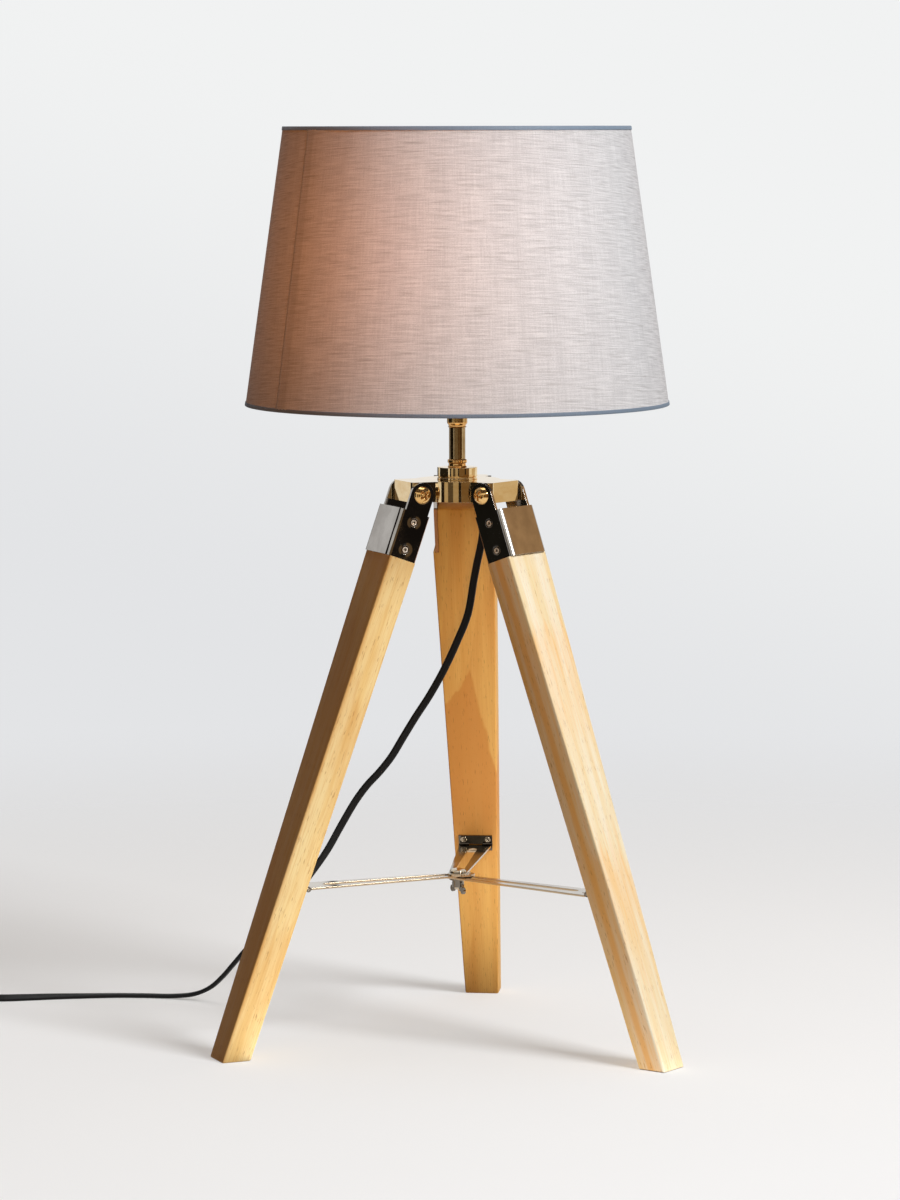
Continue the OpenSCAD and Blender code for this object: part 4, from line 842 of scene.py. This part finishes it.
boss_top, tube_at, flare_at = 409.539 * mm, 415.139 * mm, 437.539 * mm
bronze = gilt("bronze", tint(188, 160, 116), tint(164, 138, 98), 0.08, 0.16)
collar_gold = gilt("collar_gold", tint(238, 188, 118), tint(222, 168, 100), 0.04, 0.1)
rod_brass = gilt("rod_brass", tint(214, 178, 118), tint(196, 156, 96), 0.15, 0.3)
dress("threaded_rod", rod_brass)
bead = np.linspace(-0.42, 0.42, 15) * np.pi
bead_line = np.stack([5.6 + 1.5 * np.cos(bead), 4.1 + 1.5 * np.sin(bead)], -1)
bead_line[:, 0] -= 0.3 * np.exp(-(bead / 0.35) ** 2)
beaded_profile = np.vstack([
    [[5.1, 0], [6.6, 0], [6.8, 0.3], [6.6, 0.6], [6.15, 0.9], [6.1, 2.3]], bead_line,
    [[5.1, 5.6]]]) * mm
flared_profile = np.array([
    [5.1, 0], [6.4, 0], [6.55, 0.25], [6.4, 0.5], [5.98, 0.65], [6.05, 1.1], [6.35, 1.8],
    [6.9, 2.6], [7.2, 3.0], [7.2, 4.0], [5.1, 4.0]]) * mm
tube_profile = ring_of(np.array([[5.1, 0], [5.8, 0], [5.8, 22.4], [5.1, 22.4]]) * mm, 0.15 * mm)
stem = (
    ("tube_bronze", "stem_tube", tube_profile, tube_at, bronze, "bronze_tube"),
    ("collar_beaded", "lower_collar", beaded_profile, boss_top, collar_gold, "gilt"),
    ("collar_flared", "upper_collar", flared_profile, flare_at, collar_gold, "gilt"),
)
for name, node, profile, up, finish, slot in stem:
    made = piece(name, "lamp", [raised(turned(profile, 64, closed=True), up)], finish, (node,),
                 crease=50)

# ---------------------------------------------------------------- lampholder and bulb
# A brass cap and a white thermoplastic body, with ribs on its skirt and an outer thread
# for the shade's knurled ring nut; a push bar through the cap, and an opal bulb.

body_at, shoulder_at = 463.539 * mm, 479.539 * mm
white_plastic = Finish("white_plastic")
moulded = white_plastic.cloud(white_plastic.place(), 500, 2)
white_plastic.done(
    Base_Color=white_plastic.mix(moulded, tint(232, 230, 222), tint(240, 238, 232)),
    Roughness=0.4, Normal=white_plastic.bump(moulded, 0.00003, 0.4))
cap = softened("holder_cap_brass", "holder_cap", "lamp", rod_brass, 0.4 * mm, 3)
for node in ("holder_shell", "holder_contact"):
    dress(node, rod_brass)
dress("holder_insert", white_plastic)
dress("inner_lead", pvc)
push = softened("push_bar", "switch_bar", "switch_body", pvc, 0.6 * mm, 3)


def tube_wall(heights, outside, inside, up):
    """A closed tube, in millimetres and raised by up: its outer surface is a grid of radii
    r(z, t), and its bore is plain."""
    z = heights[:, None] + 0 * outside
    t = np.linspace(0, 2 * np.pi, outside.shape[1], endpoint=False)[None, :]
    grid = np.stack([outside * np.cos(t), outside * np.sin(t), z], -1)
    bore = np.stack([inside * np.cos(t) + 0 * z, inside * np.sin(t) + 0 * z, z], -1)[::-1]
    points, faces = shell(np.concatenate([grid, bore, grid[:1]]), ends=False)
    return raised((points * mm, faces), up)


holder_bore, nut_bore = 14.2, 16.9
rib_count, knurl_count, thread_pitch = 36, 48, 2.5
sides = np.linspace(0, 2 * np.pi, 144, endpoint=False)[None, :]
skirt_rows = np.concatenate([[0, 0.3, 1.4], np.linspace(2, 14, 5), [14.6, 15.7, 16]])
skirt_radius = np.interp(skirt_rows, [0, 0.3, 15.7, 16], [19.2, 19.5, 19.5, 19.2])[:, None]
skirt_ribs = 0.45 * (smooth(skirt_rows, 1.4, 2) * (1 - smooth(skirt_rows, 14, 14.6)))[:, None] \
    * (0.5 - 0.5 * np.cos(rib_count * sides))
skirt = tube_wall(skirt_rows, skirt_radius - skirt_ribs, holder_bore, body_at)
thread_z = np.linspace(16, 34, 145)[:, None]
edge_fade = smooth(thread_z, 16, 17) * (1 - smooth(thread_z, 33, 34))
thread_deep = 0.8 * edge_fade * (0.5 - 0.5 * np.cos(sides + 2 * np.pi * thread_z / thread_pitch))
thread_radius = 16.8 - thread_deep - 0.5 * (1 - edge_fade)
thread = tube_wall(thread_z[:, 0], thread_radius, holder_bore, body_at)
holder_body = piece("holder_body_ribbed", "lamp", [skirt, thread], white_plastic,
                    ("holder_body",), crease=60)
nut_rows = np.array([0, 0.4, 1.2, 1.6, 5.4, 5.8, 6.6, 7])
nut_knurl = 0.7 * np.array([0, 0, 0, 1, 1, 0, 0, 0])[:, None] \
    * (0.5 - 0.5 * np.cos(knurl_count * sides))
nut_radius = np.array([24.5, 25, 25, 25, 25, 25, 25, 24.5])[:, None]
nut_ring = tube_wall(nut_rows, nut_radius - nut_knurl, nut_bore, shoulder_at + 1.5 * mm)
ring_nut = piece("shade_ring_knurled", "lamp", [nut_ring], white_plastic, ("shade_ring",),
                 crease=60)

cap_top = 494.139 * mm
frosted = Finish("frosted_bulb")
haze = frosted.cloud(frosted.place(), 60, 2)
frosted.done(Base_Color=frosted.mix(haze, tint(240, 236, 224), tint(250, 247, 238)), Roughness=0.3)

# the glass: a neck, a cone, and a ball that the cone meets where the two slopes agree
ball_r, ball_up, neck_r = 30, 52, 13.6
meet = math.asin((ball_r - neck_r) / 48)
ball = np.linspace(-meet, np.pi / 2, 30)[:, None]
neck = np.array([[0, 0.3], [13.2, 0.0], [neck_r, 0.4], [neck_r, 3.4], [13.9, 5.0]])
cone = np.linspace(0.12, 0.92, 6)[:, None]
cone_end = np.array([[ball_r * math.cos(meet), ball_up - ball_r * math.sin(meet)]])
cone_line = np.array([[neck_r, 4.0]]) * (1 - cone) + cone_end * cone
ball_line = np.hstack([ball_r * np.cos(ball), ball_up + ball_r * np.sin(ball)])
globe_profile = np.vstack([neck, cone_line, ball_line]) * mm
globe = piece("bulb_opal", "lamp", [raised(turned(globe_profile, 64), cap_top)], frosted,
              ("bulb_globe",), crease=60)
dress("bulb_cap", screw_bright)

# ---------------------------------------------------------------- shade frame
# White-lacquered steel wire: a ring in each hem, and three spokes that fall from the
# fitter on the lampholder to the lower ring.

shade_low, shade_top, shade_high, shade_z = 150 * mm, 122.6 * mm, 195 * mm, 453.539 * mm
slope = (shade_low - shade_top) / shade_high
wire, gap = 1.5 * mm, 0.1 * mm
wire_in = (0.4 + 0.1 + 0.9 + 0.1 + 0.4 + 0.1) * mm  # tape, cloth, tape and three gaps


def cone_radius(up):
    """The shade's outer radius at a height above its lower edge."""
    return shade_low - slope * up


lacquer = Finish("white_lacquer")
orange_peel = lacquer.cloud(lacquer.place(), 900, 2)
lacquer.done(
    Base_Color=lacquer.mix(orange_peel, tint(236, 235, 230), tint(244, 243, 239)),
    Roughness=0.28, Normal=lacquer.bump(orange_peel, 0.00002, 0.4))
circle = np.linspace(0, 2 * np.pi, 16, endpoint=False)[:, None]
wire_up = wire + 0.4 * mm
for name, up, node in (("wire_ring_low", wire_up, "shade_low_ring"),
                       ("wire_ring_top", shade_high - wire_up, "shade_top_ring")):
    ring_r = cone_radius(up) - wire_in - wire
    section = np.hstack([ring_r + wire * np.cos(circle), shade_z + up + wire * np.sin(circle)])
    made = piece(name, "lamp", [turned(section, 180, closed=True)], lacquer, (node,))

fitter_profile = np.array([[16.9, 0], [27, 0], [27, 1.5], [16.9, 1.5]]) * mm
fitter = raised(turned(ring_of(fitter_profile, 0.3 * mm), 96, closed=True), shoulder_at)
spoke_from = np.array([27 * mm - wire, 26.75 * mm])
spoke_to = np.array([cone_radius(wire_up) - wire_in - wire, wire_up])
spoke_long = np.linalg.norm(spoke_to - spoke_from) - wire - 0.05 * mm
spoke_disc = (wire - gap) * np.hstack([np.cos(circle), np.sin(circle)])
spoke_run = spoke_from + unit(spoke_to - spoke_from) * np.linspace(0, spoke_long, 12)[:, None]
spokes_made = []
for bearing in (30, 150, 270):
    turn, out = math.radians(bearing), spoke_run[:, 0]
    line = np.stack([out * np.cos(turn), out * np.sin(turn), shade_z + spoke_run[:, 1]], -1)
    sideways = np.array([-np.sin(turn), np.cos(turn), 0])
    spokes_made.append(shell(carried(line, sideways, spoke_disc)))
wire_frame = piece("shade_spider", "lamp", spokes_made + [fitter], lacquer, ("shade_frame",),
                   crease=50)

# ---------------------------------------------------------------- shade
# Grey linen laminated to clear film, cut as a sector, rolled into a cone and lapped at
# the left, with its edges taped to the wire rings.

slant = math.hypot(shade_low - shade_top, shade_high)
lap_at, lap_wide = math.radians(-140.3), 11 * mm
front_at = math.radians(-84)
cloth_in, cloth_thick, lap_lift = 1.18 * mm, 0.42 * mm, 0.47 * mm
weave_radius, weave_dip = 136 * mm, 12 * mm


def shade_skin():
    """The cloth's middle surface: the angle runs once round from the lap and a little over
    itself; the first stretch lies outside the last by one thickness, and falls to its level.
    The threads' own coordinates follow it, level at the front and 5 degrees off at the sides."""
    up = np.linspace(0.6, 194.4, 90)[:, None] * mm
    lap_turn = lap_wide / shade_low
    angle = lap_at + np.linspace(0, 2 * np.pi + lap_turn, 480)[None, :]
    lift = lap_lift * (1 - smooth(angle - lap_at, lap_turn * 1.1, lap_turn * 4))
    radius = cone_radius(up) - cloth_in + lift
    grid = np.stack([radius * np.cos(angle), radius * np.sin(angle), shade_z + up + 0 * angle], -1)
    dip = weave_dip * (1 - np.cos(angle - front_at))
    threads = np.stack([(angle - front_at) * weave_radius + 0 * up,
                        up * slant / shade_high + dip], -1)
    doubled = 1 - smooth(angle - lap_at, lap_turn * 0.97, lap_turn * 1.06)
    return grid, threads, np.broadcast_to(doubled, grid.shape[:2])


def linen():
    """Laminated linen in the threads' own coordinates: fine uneven weft and warp threads as
    noise drawn out along each, dark slubs along the weft, broad soft bars along the warp, a
    grain as fine as one thread, and less light where the lap lies double."""
    f = Finish("linen")
    cloth = f.node("UVMap", {"uv_map": "cloth"}, None, "UV")
    weft = f.cloud(f.place((45, 1250, 1), of=cloth), 1.0, 3, 0.62)
    warp = f.cloud(f.place((1250, 40, 1), of=cloth), 1.0, 3, 0.6)
    slub = f.between(f.cloud(f.place((38, 620, 1), of=cloth), 1.0, 2, 0.5), 0.56, 0.74)
    bars = f.cloud(f.place((120, 5, 1), of=cloth), 1.0, 2, 0.5)
    grain = f.cloud(f.place((900, 1900, 1), of=cloth), 1.0, 1, 0.5)
    threads = weft * 0.55 + warp * 0.2 + grain * 0.25
    colour = f.mix(f.between(threads, 0.35, 0.64), tint(172, 172, 174), tint(209, 209, 210))
    colour = f.mix(slub * 0.42, colour, tint(142, 140, 140))
    colour = f.mix(f.between(bars, 0.42, 0.7) * 0.12, colour, tint(158, 158, 160))
    lap = f.node("Attribute", {"attribute_name": "doubled"}, None, "Fac")
    colour = f.mix(lap * 0.16, colour, tint(86, 80, 78))
    return f.done(Base_Color=colour, Roughness=0.85, Specular_IOR_Level=0.2,
                  Normal=f.bump(threads + slub * 0.4, 0.00016, 0.5))


def flat_map(made, name, points):
    """Gives a piece a UV map from a flat place for each of its points."""
    corner = np.empty(len(made.data.loops), int)
    made.data.loops.foreach_get("vertex_index", corner)
    layer = made.data.uv_layers.new(name=name)
    layer.data.foreach_set("uv", points.reshape(-1, 2)[corner].ravel())


linen_grey = linen()
grid, threads, doubled = shade_skin()
skin = piece("shade_linen", "lamp", [shell(grid, around=False, ends=False)], linen_grey,
             ("shade_skin",), merge=1e-9)
flat_map(skin, "cloth", threads)
lap_mark = skin.data.attributes.new("doubled", "FLOAT", "POINT")
lap_mark.data.foreach_set("value", doubled.ravel())
thick = skin.modifiers.new("thickness", "SOLIDIFY")
thick.thickness, thick.offset = cloth_thick, 0

hem_cloth = Finish("hem_tape")
tape = hem_cloth.node("UVMap", {"uv_map": "tape"}, None, "UV")
tape_ribs = hem_cloth.cloud(hem_cloth.place((1400, 90, 1), of=tape), 1.0, 2)
hem_cloth.done(Base_Color=hem_cloth.mix(tape_ribs, tint(94, 108, 124), tint(122, 138, 154)),
               Roughness=0.6, Specular_IOR_Level=0.3, Normal=hem_cloth.bump(tape_ribs, 0.0001, 0.6))


def hem(name, edge, inward, node):
    """A tape folded over an edge of the shade: its section is a thin U, 2.7 mm down outside
    and 7 mm inside, turned round the lamp's axis."""
    t = 0.3
    outer = [(0.5, 2.7), (0.45, 0.45), (0.65, 0.1), (0.95, 0)]
    inner = [(1.65, 0), (1.95, 0.3), (2.0, 7)]
    back = [(2.0 - t, 7), (1.95 - t, 0.55), (1.55, 0.3), (1.05, 0.3), (0.78, 0.55), (0.5 + t, 2.7)]
    section = np.array(outer + inner + back) * mm
    up = edge + inward * section[:, 1]
    rows = np.stack([cone_radius(up) - section[:, 0], shade_z + up], -1)
    made = piece(name, "lamp", [turned(rows, 240, closed=True)], hem_cloth, (node,), crease=50)
    at = np.empty(len(made.data.vertices) * 3)
    made.data.vertices.foreach_get("co", at)
    at = at.reshape(-1, 3)
    round_way = np.arctan2(at[:, 1], at[:, 0]) * shade_low
    flat_map(made, "tape", np.stack([round_way, at[:, 2]], -1))
    return made


low_hem = hem("hem_low", 0.0, 1, "shade_hem_bottom")
top_hem = hem("hem_top", shade_high, -1, "shade_hem_top")

# ---------------------------------------------------------------- studio
# A pale floor that fades into a pale backdrop, a large soft lamp high on the right, weak
# ones overhead and on the floor, four narrow spots that tint the shade and the front, and
# cards round the object, some in bands, for the polished metal to mirror.

floor_r, floor_sides, fade_from, fade_to = 3.2, 96, 0.35, 1.7
floor_turn = np.linspace(0, 2 * np.pi, floor_sides, endpoint=False)
rim = np.stack([floor_r * np.cos(floor_turn), floor_r * np.sin(floor_turn), 0 * floor_turn], -1)
floor_mesh = bpy.data.meshes.new("floor")
floor_mesh.from_pydata(rim.tolist(), [], [list(range(floor_sides))])
floor = bpy.data.objects.new("floor", floor_mesh)
bpy.context.scene.collection.objects.link(floor)
pale = Finish("floor")
from_middle = pale.node("VectorMath", {"operation": "LENGTH"},
                        {0: pale.node("TexCoord", output="Object")}, "Value")
matt = pale.node("BsdfDiffuse", None, {"Color": tint(248, 250, 252)})
glow = pale.node("Emission", None, {"Color": tint(241, 240, 236), "Strength": 1.0})
clear = pale.node("BsdfTransparent", None, {"Color": (1, 1, 1, 1)})
lit = pale.node("MixShader", None, {0: 0.4, 1: matt, 2: glow})
faded = pale.between(from_middle, fade_from, fade_to)
above = pale.node("MixShader", None, {0: faded, 1: lit, 2: clear})
below = pale.node("NewGeometry", output="Backfacing")
pale.shows(pale.node("MixShader", None, {0: below, 1: above, 2: clear}))
floor_mesh.materials.append(pale.material)
floor.visible_diffuse = False

world = bpy.data.worlds.new("backdrop")
bpy.context.scene.world = world
sky = Finish("backdrop", world)
camera_ray, glossy_ray, clear_ray = (
    sky.node("LightPath", None, None, f"Is {kind} Ray")
    for kind in ("Camera", "Glossy", "Transmission"))
facing = sky.node("TexCoord", output="Generated")
# painted light: the backdrop shown to the camera and to reflections is paler above and to the right
high_right = sky.node("VectorMath", {"operation": "DOT_PRODUCT"},
                      {0: facing, 1: (0.336, 0.145, 0.994)}, "Value")
backdrop_painted_light = sky.mix(sky.between(high_right, -0.03, 0.11), tint(227, 228, 230), tint(241, 242, 242))
shown = sky.node("Background", None, {"Color": backdrop_painted_light, "Strength": 1.0})
plain = sky.node("Background", None, {"Color": (0.092, 0.046, 0.026, 1), "Strength": 1.0})
share = sky.node("Math", {"operation": "MAXIMUM"}, {0: camera_ray, 1: glossy_ray + clear_ray})
sky.node("OutputWorld", None, {
    "Surface": sky.node("MixShader", None, {0: share, 1: plain, 2: shown})})


def around(bearing, away, up):
    """A point on a bearing round the lamp, so far from its axis and so high."""
    turn = math.radians(bearing)
    return Vector((away * math.cos(turn), away * math.sin(turn), up))


def aimed(made, at, towards):
    """Stands a lamp or card at a point, facing another."""
    bpy.context.scene.collection.objects.link(made)
    made.location = at
    made.rotation_euler = (Vector(towards) - Vector(at)).to_track_quat("-Z", "Y").to_euler()
    return made


def lamp(name, kind, at, towards, power, colour, **shape):
    """A lamp of a kind and shape at a point, facing another."""
    data = bpy.data.lights.new(name, kind)
    data.energy, data.color = power, colour
    for key, value in shape.items():
        setattr(data, key, value)
    made = aimed(bpy.data.objects.new(name, data), at, towards)
    made.visible_camera, made.visible_glossy = False, name in ("key", "overhead")
    return made


lamp("key", "AREA", around(-34, 3.6, 2.75), (0, 0, 0.35), 204, (0.97, 0.985, 1.0),
     shape="SQUARE", size=1.6)
lamp("overhead", "AREA", (0.2, 0.1, 2.6), (0, 0, 0), 18, (1.0, 0.99, 0.98),
     shape="SQUARE", size=2.0)
lamp("bounce", "AREA", (0.02, -0.06, 0.0005), (0.02, -0.06, 1), 0.46, (1.0, 0.97, 0.9),
     shape="SQUARE", size=0.31)
spots = {
    "warm": (around(-112, 2.5, 0.57), around(-109, 0.137, 0.565), 150, (1.0, 0.28, 0.02), 8, 0.12),
    "rim": (around(170, 2.5, 0.62), around(-165, 0.137, 0.55), 12, (1.0, 0.62, 0.4), 7, 0.12),
    "middle": (around(-62, 2.5, 0.62), around(-67, 0.137, 0.585), 84, (0.98, 1.0, 0.98), 6.8, 0.12),
    "fill": (around(-80, 2.7, 0.42), (0, 0.03, 0.3), 40, (1.0, 0.76, 0.44), 9, 0.15),
}
for name, (at, towards, power, colour, spread, soft) in spots.items():
    lamp(name, "SPOT", at, towards, power, colour,
         spot_size=math.radians(spread), spot_blend=1.0, shadow_soft_size=soft)


def card(name, bearing, away, low, high, spread, colour):
    """A card that only reflections see, on a bearing round the lamp and facing it; spread is
    the angle to each side that it fills."""
    mesh = bpy.data.meshes.new(name)
    w, h = away * math.tan(math.radians(spread)), (high - low) / 2
    mesh.from_pydata([(-w, -h, 0), (w, -h, 0), (w, h, 0), (-w, h, 0)], [], [(0, 1, 2, 3)])
    up = (low + high) / 2
    made = aimed(bpy.data.objects.new(name, mesh), around(bearing, away, up), (0, 0, up))
    felt = Finish(name)
    felt.shows(felt.node("Emission", None, {"Color": colour, "Strength": 1.0}))
    mesh.materials.append(felt.material)
    made.visible_camera = made.visible_shadow = False
    made.visible_diffuse = made.visible_transmission = False
    return made


card("card_left", -171.5, 2.4, -0.5, 1.4, 33.5, tint(34, 32, 27))
card("card_rear", 122, 2.4, -0.3, 0.9, 16, tint(66, 60, 46))
card("card_arm", 24, 2.4, -0.5, 0.42, 16, tint(206, 192, 168))
for start, end, shade in (
        (-128, -119, (30, 26, 22)), (-119, -109, (178, 164, 140)), (-109, -95, (84, 74, 60)),
        (-95, -80.5, (166, 152, 128)), (-80.5, -73.5, (36, 31, 26))):
    card(f"card_front_{-round(end)}", (start + end) / 2, 3.0, -1.2, 1.0, (end - start) / 2,
         tint(*shade))
card("card_right", -42.7, 2.5, -0.9, 1.2, 30.7, tint(116, 94, 66))
card("card_cheek", -36.6, 2.2, -0.2, 0.6, 3.6, tint(34, 30, 27))
card("card_plate", 27, 2.2, 0.45, 1.6, 10, tint(206, 164, 116))
